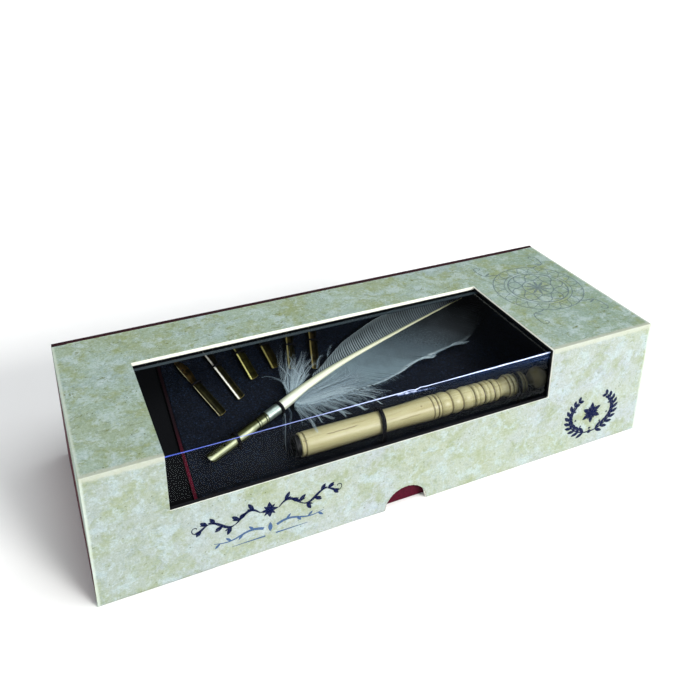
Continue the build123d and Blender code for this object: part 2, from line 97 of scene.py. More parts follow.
class M:
    """One procedural material; its methods add nodes and return output sockets."""

    def __init__(self, name):
        self.mat = bpy.data.materials.new(name)
        self.mat.use_nodes = True
        self.nt = self.mat.node_tree
        self.nt.nodes.clear()
        self.out = self.nt.nodes.new("ShaderNodeOutputMaterial")
        self.co = self.nt.nodes.new("ShaderNodeTexCoord").outputs["Object"]
        self.mm = self.vscale(self.co, 1000.0)
        self.bsdf = None

    def put(self, socket, value):
        if isinstance(value, bpy.types.NodeSocket):
            self.nt.links.new(value, socket)
        elif value is not None:
            socket.default_value = value

    def node(self, kind, inputs=None, **props):
        n = self.nt.nodes.new(kind)
        for k, v in props.items():
            setattr(n, k, v)
        for k, v in (inputs or {}).items():
            self.put(n.inputs[k], v)
        return n

    def vscale(self, v, s):
        n = self.node("ShaderNodeVectorMath", {0: v}, operation="SCALE")
        n.inputs["Scale"].default_value = s
        return n.outputs[0]

    def mapping(self, v=None, scale=(1, 1, 1), rot=(0, 0, 0), loc=(0, 0, 0)):
        return self.node("ShaderNodeMapping", {"Vector": v or self.mm, "Scale": scale, "Rotation": rot,
                                               "Location": loc}).outputs[0]

    def noise(self, scale, detail=3.0, rough=0.5, v=None, dist=0.0, color=False, lac=2.0):
        n = self.node("ShaderNodeTexNoise", {"Vector": v or self.mm, "Scale": scale, "Detail": detail,
                                             "Roughness": rough, "Distortion": dist, "Lacunarity": lac})
        return n.outputs["Color" if color else "Fac"]

    def voronoi(self, scale, v=None, feature="F1", rand=1.0, out="Distance"):
        n = self.node("ShaderNodeTexVoronoi", {"Vector": v or self.mm, "Scale": scale, "Randomness": rand},
                      feature=feature)
        return n.outputs[out]

    def math(self, op, a, b=0.0, c=None, clamp=False):
        n = self.node("ShaderNodeMath", {0: a, 1: b}, operation=op, use_clamp=clamp)
        if c is not None:
            self.put(n.inputs[2], c)
        return n.outputs[0]

    def vmath(self, op, a, b=None, out=0):
        n = self.node("ShaderNodeVectorMath", {0: a}, operation=op)
        if b is not None:
            self.put(n.inputs[1], b)
        return n.outputs[out]

    def ramp(self, fac, stops, interp="LINEAR"):
        n = self.node("ShaderNodeValToRGB", {"Fac": fac})
        cr = n.color_ramp
        cr.interpolation = interp
        while len(cr.elements) < len(stops):
            cr.elements.new(0.5)
        for e, (p, c) in zip(cr.elements, stops):
            e.position = p
            e.color = c if len(c) == 4 else (*c, 1.0)
        return n.outputs[0]

    def step(self, fac, a, b):
        """0 below a, 1 above b, smooth between."""
        n = self.node("ShaderNodeMapRange", {"Value": fac, "From Min": a, "From Max": b},
                      interpolation_type="SMOOTHSTEP")
        return n.outputs[0]

    def mix(self, fac, a, b, blend="MIX"):
        n = self.nt.nodes.new("ShaderNodeMix")
        n.data_type = "RGBA"
        n.blend_type = blend
        self.put(n.inputs[0], fac)
        self.put(n.inputs[6], a)
        self.put(n.inputs[7], b)
        return n.outputs[2]

    def sep(self, v=None):
        return self.node("ShaderNodeSeparateXYZ", {0: v or self.mm}).outputs

    def attr(self, name, out="Fac"):
        return self.node("ShaderNodeAttribute", attribute_name=name).outputs[out]

    def bump(self, height, dist_mm=0.1, strength=1.0, normal=None):
        n = self.node("ShaderNodeBump", {"Height": height, "Strength": strength, "Distance": dist_mm * MM})
        if normal is not None:
            self.put(n.inputs["Normal"], normal)
        return n.outputs[0]

    def principled(self, **kw):
        self.bsdf = self.nt.nodes.new("ShaderNodeBsdfPrincipled")
        for k, v in kw.items():
            self.put(self.bsdf.inputs[k.replace("_", " ")], v)
        self.nt.links.new(self.bsdf.outputs[0], self.out.inputs[0])
        return self.bsdf


# ---------------------------------------------------------------------------
# Mesh helpers
# ---------------------------------------------------------------------------
def link(obj):
    bpy.context.scene.collection.objects.link(obj)
    return obj


def mesh_obj(name, verts, faces, mats=(), smooth=True, scale=MM):
    me = bpy.data.meshes.new(name)
    me.from_pydata([tuple(Vector(v) * scale) for v in verts], [], faces)
    me.validate()
    for m in mats:
        me.materials.append(m.mat if isinstance(m, M) else m)
    me.polygons.foreach_set("use_smooth", [smooth] * len(me.polygons))
    me.update()
    return link(bpy.data.objects.new(name, me))


def prism_yz(points, x0, x1):
    """Closed prism of a YZ polygon between two X planes, mm."""
    n = len(points)
    vs = [(x0, y, z) for y, z in points] + [(x1, y, z) for y, z in points]
    fs = [tuple(range(n)), tuple(range(2 * n - 1, n - 1, -1))]
    fs += [(i, i + n, (i + 1) % n + n, (i + 1) % n) for i in range(n)]
    return fixed(mesh_obj("tmp_prism", vs, fs, smooth=False))


def prism_xz(points, y0, y1):
    n = len(points)
    vs = [(x, y0, z) for x, z in points] + [(x, y1, z) for x, z in points]
    fs = [tuple(range(n)), tuple(range(2 * n - 1, n - 1, -1))]
    fs += [(i, i + n, (i + 1) % n + n, (i + 1) % n) for i in range(n)]
    return fixed(mesh_obj("tmp_prism", vs, fs, smooth=False))


def box(x0, x1, y0, y1, z0, z1):
    return prism_yz([(y0, z0), (y1, z0), (y1, z1), (y0, z1)], x0, x1)


def fixed(obj):
    bm = bmesh.new()
    bm.from_mesh(obj.data)
    bmesh.ops.recalc_face_normals(bm, faces=bm.faces)
    bm.to_mesh(obj.data)
    bm.free()
    return obj


def applied(obj):
    """The object's mesh with its modifiers applied."""
    dg = bpy.context.evaluated_depsgraph_get()
    dg.update()
    me = bpy.data.meshes.new_from_object(obj.evaluated_get(dg), preserve_all_data_layers=True, depsgraph=dg)
    obj.modifiers.clear()
    old = obj.data
    obj.data = me
    bpy.data.meshes.remove(old)
    return obj


def cut(obj, tool, op="DIFFERENCE"):
    m = obj.modifiers.new("b", "BOOLEAN")
    m.operation = op
    m.solver = "EXACT"
    m.object = tool
    applied(obj)
    bpy.data.objects.remove(tool)
    return obj


def bevel(obj, radius_of, width=2.0, segments=5):
    """Rounds edges; radius_of(midpoint mm, unit direction, mean normal) gives each edge's radius in mm, or 0."""
    bm = bmesh.new()
    bm.from_mesh(obj.data)
    bmesh.ops.remove_doubles(bm, verts=bm.verts, dist=0.00002)
    bmesh.ops.dissolve_limit(bm, angle_limit=math.radians(0.5), verts=bm.verts, edges=bm.edges)
    layer = bm.edges.layers.float.get("bevel_weight_edge") or bm.edges.layers.float.new("bevel_weight_edge")
    for e in bm.edges:
        if len(e.link_faces) != 2:
            continue
        a, b = (v.co * 1000 for v in e.verts)
        n = e.link_faces[0].normal + e.link_faces[1].normal
        r = radius_of((a + b) / 2, (b - a).normalized(), n.normalized() if n.length else n)
        e[layer] = min(1.0, r / width)
    bm.to_mesh(obj.data)
    bm.free()
    m = obj.modifiers.new("bev", "BEVEL")
    m.limit_method = "WEIGHT"
    m.width = width * MM
    m.segments = segments
    m.use_clamp_overlap = True
    m.miter_outer = "MITER_ARC"
    return applied(obj)


def gridded(obj, steps):
    """Cuts a mesh by planes every so many mm along each axis, so that it can carry a slight wave."""
    bm = bmesh.new()
    bm.from_mesh(obj.data)
    for axis, step in enumerate(steps):
        if not step:
            continue
        lo = min(v.co[axis] for v in bm.verts) * 1000
        hi = max(v.co[axis] for v in bm.verts) * 1000
        n = max(1, int(round((hi - lo) / step)))
        for i in range(1, n):
            p, d = Vector((0, 0, 0)), Vector((0, 0, 0))
            p[axis] = (lo + (hi - lo) * i / n) * MM
            d[axis] = 1.0
            bmesh.ops.bisect_plane(bm, geom=bm.verts[:] + bm.edges[:] + bm.faces[:], dist=0.000001, plane_co=p,
                                   plane_no=d)
    bm.to_mesh(obj.data)
    bm.free()
    return obj


def soften(obj, angle=32):
    """Smooth shading with sharp edges kept, and normals weighted by face area."""
    me = obj.data
    me.polygons.foreach_set("use_smooth", [True] * len(me.polygons))
    me.set_sharp_from_angle(angle=math.radians(angle))
    w = obj.modifiers.new("wn", "WEIGHTED_NORMAL")
    w.keep_sharp = True
    return obj


def tube_mesh(path, radii, sides=12, up=None, flat=1.0, caps=True):
    """Vertices and faces of a tube along path (mm); flat squeezes it along up."""
    vs, fs = [], []
    n = len(path)
    up = up or NRM
    for i, p in enumerate(path):
        t = (path[min(i + 1, n - 1)] - path[max(i - 1, 0)]).normalized()
        side = t.cross(up).normalized()
        top = side.cross(t).normalized()
        r = radii[i]
        for k in range(sides):
            a = 2 * math.pi * k / sides
            vs.append(p + side * (math.cos(a) * r) + top * (math.sin(a) * r * flat))
    for i in range(n - 1):
        for k in range(sides):
            k2 = (k + 1) % sides
            fs.append((i * sides + k, i * sides + k2, (i + 1) * sides + k2, (i + 1) * sides + k))
    if caps:
        fs.append(tuple(range(sides - 1, -1, -1)))
        fs.append(tuple((n - 1) * sides + k for k in range(sides)))
    return vs, fs


def smooth_path(points, n):
    """Catmull-Rom through points (tuples of any length), n samples, as a numpy array."""
    p = np.array(points, float)
    p = np.vstack([2 * p[0] - p[1], p, 2 * p[-1] - p[-2]])
    out = []
    segs = len(p) - 3
    for k in range(n):
        u = k / (n - 1) * segs
        i = min(int(u), segs - 1)
        t = u - i
        a, b, c, d = p[i], p[i + 1], p[i + 2], p[i + 3]
        out.append(0.5 * ((2 * b) + (c - a) * t + (2 * a - 5 * b + 4 * c - d) * t * t + (3 * b - a - 3 * c + d) * t ** 3))
    return np.array(out)


class Pile:
    """Collects many small pieces into one mesh, with float attributes per vertex."""

    def __init__(self):
        self.v, self.f, self.a = [], [], {}

    def add(self, vs, fs, **attrs):
        base = len(self.v)
        self.v += [tuple(x) for x in vs]
        self.f += [tuple(i + base for i in f) for f in fs]
        for k, val in attrs.items():
            self.a.setdefault(k, [0.0] * base)
            self.a[k] += list(val) if hasattr(val, "__len__") else [val] * len(vs)
        for k in self.a:
            if k not in attrs:
                self.a[k] += [0.0] * len(vs)

    def make(self, name, mats, smooth=True):
        ob = mesh_obj(name, self.v, self.f, mats, smooth)
        for k, vals in self.a.items():
            at = ob.data.attributes.new(k, "FLOAT", "POINT")
            at.data.foreach_set("value", np.array(vals, np.float32))
        return ob


# ---------------------------------------------------------------------------
# Materials
# ---------------------------------------------------------------------------
def parchment():
    """Printed stone-look paper: soft grey-green mottling, olive stains, whitish clouds, fine grain and a few strokes."""
    m = M("parchment_paper")
    x, y, z = m.sep()
    warp = m.noise(0.05, 4, 0.6, color=True)
    warped = m.vmath("ADD", m.mm, m.vscale(warp, 9.0))
    front = m.step(y, -W / 2 + 1.4, -W / 2 + 0.4)               # the front face gets its own paler, warmer colours and tint: painted light for the differently lit faces, partly its print
    cloud = m.noise(0.026, 4, 0.55, v=warped)
    right = m.step(x, 60.0, 130.0)
    top_c = m.ramp(cloud, [(0.30, lin(160, 178, 176)), (0.46, lin(160, 178, 162)), (0.60, lin(157, 172, 148)),
                           (0.72, lin(153, 165, 130))])
    # painted shade: the top darkens towards its right-hand end
    top_c = m.mix(m.math("MULTIPLY", right, 0.75), top_c, lin(138, 160, 143))
    left = m.step(x, -40.0, -150.0)
    front_c = m.ramp(cloud, [(0.30, lin(173, 181, 183)), (0.46, lin(174, 182, 172)), (0.60, lin(171, 180, 158)),
                             (0.72, lin(168, 175, 144))])
    # painted shade: the front darkens towards its left-hand end
    front_c = m.mix(m.math("MULTIPLY", left, 0.70), front_c, lin(158, 170, 152))
    base = m.mix(front, top_c, front_c)
    soft = m.math("MULTIPLY_ADD", front, -0.24, 1.0)             # how strong the marks are: weaker on the front
    # stains of yellow-olive, soft and broken
    stain = m.noise(0.075, 8, 0.68, v=m.mapping(warped, loc=(14, 3, 8)))
    base = m.mix(m.math("MULTIPLY", m.step(stain, 0.47, 0.64), m.math("MULTIPLY", soft, 0.74)), base, lin(147, 158, 106))
    blot = m.noise(0.34, 6, 0.68, v=m.mapping(warped, loc=(2, 40, 11)))
    base = m.mix(m.math("MULTIPLY", m.step(blot, 0.52, 0.66), m.math("MULTIPLY", soft, 0.54)), base, lin(134, 146, 88))
    # whitish and bluish clouds with soft edges, and finer ones in them
    pale = m.noise(0.10, 8, 0.70, v=m.mapping(warped, loc=(31, 7, 90)))
    base = m.mix(m.math("MULTIPLY", m.step(pale, 0.49, 0.62), m.math("MULTIPLY", soft, 0.64)), base, lin(188, 205, 206))
    pale2 = m.noise(0.45, 6, 0.66, v=m.mapping(warped, loc=(3, 17, 29)))
    base = m.mix(m.math("MULTIPLY", m.step(pale2, 0.52, 0.66), m.math("MULTIPLY", soft, 0.44)), base, lin(196, 208, 208))
    # short dark olive strokes, leaning
    st = m.noise(0.42, 6, 0.62, v=m.mapping(warped, rot=(0.5, 0.35, 0.7), scale=(0.42, 1.15, 0.9)), dist=0.9)
    gate = m.noise(0.05, 3, 0.5, v=m.mapping(loc=(50, 5, 31)))
    k = m.math("MULTIPLY", m.step(st, 0.60, 0.67), m.step(gate, 0.38, 0.54))
    base = m.mix(m.math("MULTIPLY", k, m.math("MULTIPLY_ADD", front, -0.62, 0.90)), base, lin(104, 112, 52))
    # bluish veins, thin
    vein = m.math("ABSOLUTE", m.math("SUBTRACT", m.noise(0.08, 7, 0.62, v=m.mapping(warped, loc=(9, 71, 3))), 0.5))
    base = m.mix(m.math("MULTIPLY", m.step(vein, 0.012, 0.0), m.math("MULTIPLY", soft, 0.44)), base, lin(124, 146, 150))
    # paper grain and tiny flecks
    grain = m.noise(1.15, 5, 0.76)
    base = m.mix(m.math("MULTIPLY", m.step(grain, 0.42, 0.62), m.math("MULTIPLY", soft, 0.46)), base, lin(190, 198, 180), "MULTIPLY")
    grain2 = m.noise(0.70, 4, 0.74, v=m.mapping(loc=(7, 13, 5)))
    base = m.mix(m.math("MULTIPLY", m.step(grain2, 0.54, 0.70), m.math("MULTIPLY", soft, 0.40)), base, lin(202, 214, 216))
    fleck = m.voronoi(0.34)
    fsel = m.noise(0.13, 2, 0.5, v=m.mapping(loc=(4, 44, 14)))
    fl = m.math("MULTIPLY", m.step(fleck, 0.15, 0.07), m.step(fsel, 0.46, 0.56))
    base = m.mix(m.math("MULTIPLY", fl, m.math("MULTIPLY", soft, 0.85)), base, lin(80, 88, 46))
    # small crisp dark marks, in drifts
    speck = m.noise(0.95, 4, 0.62, v=m.mapping(warped, loc=(21, 5, 2), rot=(0.3, 0.2, 0.6), scale=(0.7, 1.2, 1.1)))
    drift = m.noise(0.045, 4, 0.6, v=m.mapping(loc=(8, 61, 23)))
    sp = m.math("MULTIPLY", m.step(speck, 0.630, 0.685), m.step(drift, 0.44, 0.58))
    base = m.mix(m.math("MULTIPLY", sp, m.math("MULTIPLY", soft, 0.74)), base, lin(96, 108, 66))
    # a separate tint for the front face and for the top, also painted light per face
    base = m.mix(1.0, base, m.mix(front, (0.800, 0.812, 0.830, 1.0), (0.700, 0.708, 0.772, 1.0)), "MULTIPLY")
    # folds and outer edges: an even cream band, partly rubbed paper and partly a painted highlight of light on the
    # rounded folds
    ax = m.math("ABSOLUTE", x)
    dx = m.math("SUBTRACT", L / 2, ax)
    dy = m.math("ADD", y, W / 2)
    dz = m.math("SUBTRACT", H, z)
    fold = m.math("MAXIMUM", dy, dz)
    side = m.math("MAXIMUM", dx, dz)
    post = m.math("MAXIMUM", dx, dy)
    rub = m.math("MULTIPLY_ADD", m.noise(0.22, 5, 0.7), 2.4, -1.2)
    w1 = m.step(m.math("ADD", fold, rub), 3.2, 1.5)
    w2 = m.step(m.math("ADD", m.math("MINIMUM", side, post), m.math("MULTIPLY", rub, 0.4)), 1.7, 0.5)
    base = m.mix(m.math("MULTIPLY", w2, 0.62), base, lin(184, 193, 182))
    base = m.mix(m.math("MULTIPLY", w1, 0.74), base, lin(164, 168, 154))
    h = m.math("ADD", m.math("MULTIPLY", m.noise(2.6, 3, 0.6), 0.5), m.math("MULTIPLY", m.noise(0.5, 3, 0.5), 0.8))
    wave = m.noise(0.035, 2, 0.4)
    n1 = m.bump(h, 0.05, 0.5)
    n2 = m.bump(wave, 0.9, 0.25, n1)
    rough = m.math("MULTIPLY_ADD", m.noise(0.4, 3, 0.6), 0.12, 0.50)
    m.principled(Base_Color=base, Roughness=rough, Normal=n2)
    m.bsdf.inputs["Specular IOR Level"].default_value = 0.18
    return m


def edge_blacked():
    """Die-cut edge inked black behind a thin pale line of paper and card at its outer corner."""
    m = M("blacked_cut_edge")
    x, y, z = m.sep()
    d = m.math("MINIMUM", m.math("SUBTRACT", H, z), m.math("ADD", y, W / 2))
    ragged = m.math("MULTIPLY_ADD", m.noise(0.8, 4, 0.7), 0.30, -0.15)
    right = m.step(x, WX1 - 1.0, WX1 - 0.6)
    k = m.step(m.math("SUBTRACT", m.math("ADD", d, ragged), m.math("MULTIPLY", right, 0.55)), 0.62, 0.42)
    fib = m.noise(1.6, 4, 0.7)
    pale = m.ramp(fib, [(0.3, lin(206, 208, 194)), (0.7, lin(236, 238, 230))])
    ink = m.ramp(fib, [(0.3, lin(9, 9, 11)), (0.75, lin(24, 24, 27))])
    m.principled(Base_Color=m.mix(k, ink, pale), Roughness=0.75, Normal=m.bump(fib, 0.06, 0.6))
    m.bsdf.inputs["Specular IOR Level"].default_value = 0.12
    return m


def board_edge():
    """Die-cut edge: bright layered card with a fibrous face."""
    m = M("board_cut_edge")
    fib = m.noise(1.6, 4, 0.7)
    lay = m.noise(1.0, 2, 0.5, v=m.mapping(scale=(0.06, 1.0, 2.4)))
    c = m.ramp(fib, [(0.3, lin(196, 196, 182)), (0.55, lin(220, 221, 210)), (0.8, lin(232, 233, 226))])
    c = m.mix(m.math("MULTIPLY", m.step(lay, 0.52, 0.66), 0.35), c, lin(206, 204, 182))
    # the lowest line of the rear cut is near-black: the lining's black edge and painted shadow of the gap under the
    # board
    x, y, z = m.sep()
    under = m.math("MULTIPLY", m.step(y, WREAR - 0.9, WREAR - 0.6), m.math("MULTIPLY", m.step(z, H - T + 0.62, H - T + 0.42), m.step(z, H - T - 1.0, H - T - 0.8)))
    c = m.mix(under, c, lin(12, 15, 18))
    m.principled(Base_Color=c, Roughness=0.8, Normal=m.bump(fib, 0.08, 0.6))
    m.bsdf.inputs["Specular IOR Level"].default_value = 0.2
    return m


def black_paper(name="black_lining_paper", tone=1.0):
    m = M(name)
    g = m.noise(1.4, 4, 0.65)
    c = m.ramp(g, [(0.3, lin(4 * tone, 5 * tone, 7 * tone)), (0.7, lin(10 * tone, 12 * tone, 16 * tone))])
    m.principled(Base_Color=c, Roughness=m.math("MULTIPLY_ADD", g, 0.2, 0.62),
                 Normal=m.bump(m.noise(2.2, 3, 0.6), 0.05, 0.5))
    m.bsdf.inputs["Specular IOR Level"].default_value = 0.07
    return m


def burgundy_paper():
    """Dark red covering paper with a fine laid grain and soft cloudy patches."""
    m = M("burgundy_paper")
    g = m.noise(0.9, 5, 0.65)
    cloud = m.noise(0.03, 3, 0.5)
    c = m.ramp(g, [(0.28, lin(48, 3, 17)), (0.5, lin(64, 5, 25)), (0.75, lin(82, 10, 34))])
    c = m.mix(m.math("MULTIPLY", m.step(cloud, 0.4, 0.7), 0.35), c, lin(50, 4, 21))
    lines = m.noise(1.5, 2, 0.5, v=m.mapping(scale=(1.0, 0.12, 1.4)))
    h = m.math("ADD", g, m.math("MULTIPLY", lines, 0.6))
    m.principled(Base_Color=c, Roughness=m.math("MULTIPLY_ADD", cloud, 0.15, 0.48), Normal=m.bump(h, 0.07, 0.6))
    m.bsdf.inputs["Specular IOR Level"].default_value = 0.07
    return m


def burgundy_strip():
    """The divider's top edge: the same red paper, darkened towards the rear as painted shade."""
    m = M("burgundy_divider_paper")
    x, y, z = m.sep()
    g = m.noise(0.9, 5, 0.65)
    c = m.ramp(g, [(0.28, lin(60, 2, 20)), (0.5, lin(84, 4, 30)), (0.75, lin(112, 9, 42))])
    # painted shade: darker towards the rear
    c = m.mix(m.step(y, -38.0, 6.0), c, lin(14, 1, 5))
    m.principled(Base_Color=c, Roughness=0.6, Normal=m.bump(g, 0.08, 0.6))
    m.bsdf.inputs["Specular IOR Level"].default_value = 0.10
    return m


def book_cloth():
    """Woven book cloth over the rear edge: crossed threads, nearly black red. Uses the piece's own UV, in mm."""
    m = M("hinge_book_cloth")
    uv = m.node("ShaderNodeUVMap", uv_map="cloth_mm").outputs[0]
    a = m.node("ShaderNodeTexWave", {"Vector": uv, "Scale": 0.9, "Distortion": 0.6, "Detail": 1.0},
               bands_direction="X").outputs["Fac"]
    b = m.node("ShaderNodeTexWave", {"Vector": uv, "Scale": 0.9, "Distortion": 0.6, "Detail": 1.0},
               bands_direction="Y").outputs["Fac"]
    w = m.math("MAXIMUM", a, b)
    v = m.noise(0.25, 4, 0.6, v=uv)
    c = m.ramp(v, [(0.3, lin(13, 4, 7)), (0.7, lin(38, 8, 16))])
    c = m.mix(m.math("MULTIPLY", m.step(w, 0.2, 0.9), 0.35), c, lin(58, 16, 28))
    m.principled(Base_Color=c, Roughness=0.75, Normal=m.bump(w, 0.08, 0.7))
    m.bsdf.inputs["Specular IOR Level"].default_value = 0.25
    return m


def leatherette():
    """Embossed dark navy covering: pebbled cells, creases between them darkened as painted shade, and pale specks in
    the grain as painted glints.
    """
    m = M("navy_leatherette")
    warp = m.vscale(m.noise(0.35, 3, 0.6, color=True), 1.6)
    p = m.vmath("ADD", m.mm, warp)
    edge = m.voronoi(0.95, v=p, feature="DISTANCE_TO_EDGE")
    cell = m.step(edge, 0.0, 0.24)
    fine = m.noise(1.25, 5, 0.72)
    big = m.noise(0.055, 3, 0.5)
    h = m.math("ADD", m.math("MULTIPLY", cell, 0.75), m.math("MULTIPLY", fine, 0.6))
    # the palest specks of the grain are painted glints
    c = m.ramp(fine, [(0.40, lin(1, 4, 9)), (0.50, lin(5, 9, 18)), (0.60, lin(21, 32, 49)), (0.70, lin(47, 63, 86))])
    # painted shade: the creases between cells darker
    c = m.mix(m.math("MULTIPLY", m.step(edge, 0.10, 0.0), 0.80), c, lin(2, 4, 9))
    c = m.mix(m.math("MULTIPLY", m.step(big, 0.45, 0.68), 0.4), c, lin(6, 10, 19))
    m.principled(Base_Color=c, Roughness=m.math("MULTIPLY_ADD", cell, -0.16, 0.46), Normal=m.bump(h, 0.24, 1.0))
    m.bsdf.inputs["Specular IOR Level"].default_value = 0.08
    return m


def local(m, origin, axis):
    """Distance of the shaded point from origin along axis, mm."""
    return m.vmath("DOT_PRODUCT", m.vmath("SUBTRACT", m.mm, tuple(origin)), tuple(axis), out="Value")


def nib_brass(name, origin, u, v, arch, waist, painted_glint, body, upper, detail):
    """One spare nib: tarnished hollow body, a painted highlight line down its left edge, darker towards its right-hand
    edge as painted shade, browner blade past the waist.
    painted_glint is the highlight line's place across (share of the half width), its half width in mm and its colour."""
    m = M(name)
    a, b = local(m, origin, v), local(m, origin, u)
    t = m.noise(0.35, 4, 0.6)
    sc = m.noise(1.5, 3, 0.7, v=m.mapping(scale=(2.0, 0.5, 0.9)))
    wob = m.math("MULTIPLY_ADD", m.noise(0.30, 2, 0.5, v=m.mapping(scale=(0.3, 1.0, 1.0))), 0.5, -0.25)
    past = m.step(b, waist - 0.6, waist + 0.8)
    c = m.mix(m.step(t, 0.35, 0.68), lin(*body), lin(*[int(k * 0.5) for k in body]))
    c2 = m.mix(m.step(t, 0.40, 0.62), lin(*upper), lin(*[int(k * 0.42) for k in upper]))
    c = m.mix(past, c, c2)
    # painted shade: dark towards the right-hand edge of the hollow
    c = m.mix(m.math("MULTIPLY", m.step(a, -0.1 * arch, 0.75 * arch), 0.55), c, lin(20, 19, 7))
    # painted highlight: a bright line down the left side of the hollow
    place, wide, tone = painted_glint
    d = m.math("ABSOLUTE", m.math("SUBTRACT", a, m.math("MULTIPLY_ADD", wob, 0.35, place * arch)))
    line = m.step(d, wide * 1.6, wide * 0.55)
    line = m.math("MULTIPLY", line, m.math("MULTIPLY_ADD", past, detail - 1.0, 1.0))
    line = m.math("MULTIPLY", line, m.math("MULTIPLY_ADD", m.step(sc, 0.62, 0.40), 0.25, 0.75))
    c = m.mix(line, c, lin(*tone))
    lip = m.math("MULTIPLY", m.step(b, 0.45, 0.1), m.step(t, 0.30, 0.50))
    c = m.mix(m.math("MULTIPLY", lip, 0.5), c, lin(150, 140, 84))
    r = m.math("MULTIPLY_ADD", sc, 0.08, 0.30)
    # the painted highlight line is less metallic, so it stays bright
    metal = m.math("MULTIPLY_ADD", line, -0.66, 0.66)
    m.principled(Base_Color=c, Metallic=metal, Roughness=r, Normal=m.bump(sc, 0.004, 0.5))
    m.bsdf.inputs["Specular IOR Level"].default_value = 0.2
    return m


def pen_brass(origin, u, v):
    """Polished nib and collar of the feather pen: a broad cream painted highlight band on the lit side, dark olive
    flanks with painted shade on the upper one, dark rings.
    """
    m = M("polished_brass")
    a, b = local(m, origin, v), local(m, origin, u)
    t = m.noise(0.22, 4, 0.6)
    sc = m.noise(1.5, 3, 0.7, v=m.mapping(scale=(0.35, 2.0, 2.0)))
    c = m.mix(m.step(t, 0.38, 0.66), lin(62, 66, 30), lin(40, 42, 18))
    # painted shade: the upper flank darkened
    c = m.mix(m.step(a, -0.2, 1.7), c, lin(18, 19, 10))
    # painted highlight: a cream band round the tube at a set angle
    ang = m.math("ARCTAN2", a, local(m, origin, NRM))
    mid = m.math("MULTIPLY_ADD", m.step(b, 2.2, 0.1), 0.40, -0.81)      # swings up to the point
    d = m.math("ABSOLUTE", m.math("SUBTRACT", ang, mid))
    band = m.step(m.math("ADD", d, m.math("MULTIPLY", sc, 0.10)), 0.66, 0.34)
    c = m.mix(m.math("MULTIPLY", band, 0.96), c, m.mix(m.step(t, 0.42, 0.66), lin(146, 152, 126), lin(137, 142, 108)))
    rings = None
    for b0, wd, k in ((29.0, 0.28, 0.75), (30.2, 0.22, 0.55), (33.35, 0.30, 0.85), (34.45, 0.22, 0.85)):
        q = m.math("MULTIPLY", m.step(m.math("ABSOLUTE", m.math("SUBTRACT", b, b0)), wd, wd * 0.5), k)
        rings = q if rings is None else m.math("MAXIMUM", rings, q)
    c = m.mix(rings, c, lin(16, 14, 8))
    r = m.math("MULTIPLY_ADD", sc, 0.10, 0.38)
    m.principled(Base_Color=c, Metallic=0.42, Roughness=r, Normal=m.bump(sc, 0.004, 0.5))
    m.bsdf.inputs["Specular IOR Level"].default_value = 0.2
    return m


def silver():
    m = M("silver_sleeve_metal")
    sc = m.noise(1.4, 3, 0.7, v=m.mapping(scale=(0.4, 2.2, 2.2)))
    c = m.ramp(m.noise(0.5, 4, 0.6), [(0.3, lin(122, 136, 128)), (0.7, lin(152, 166, 157))])
    m.principled(Base_Color=c, Metallic=0.8, Roughness=m.math("MULTIPLY_ADD", sc, 0.14, 0.34),
                 Normal=m.bump(sc, 0.02, 0.5))
    return m


HOLD_O = world(96.8, 28.0, 5.15)


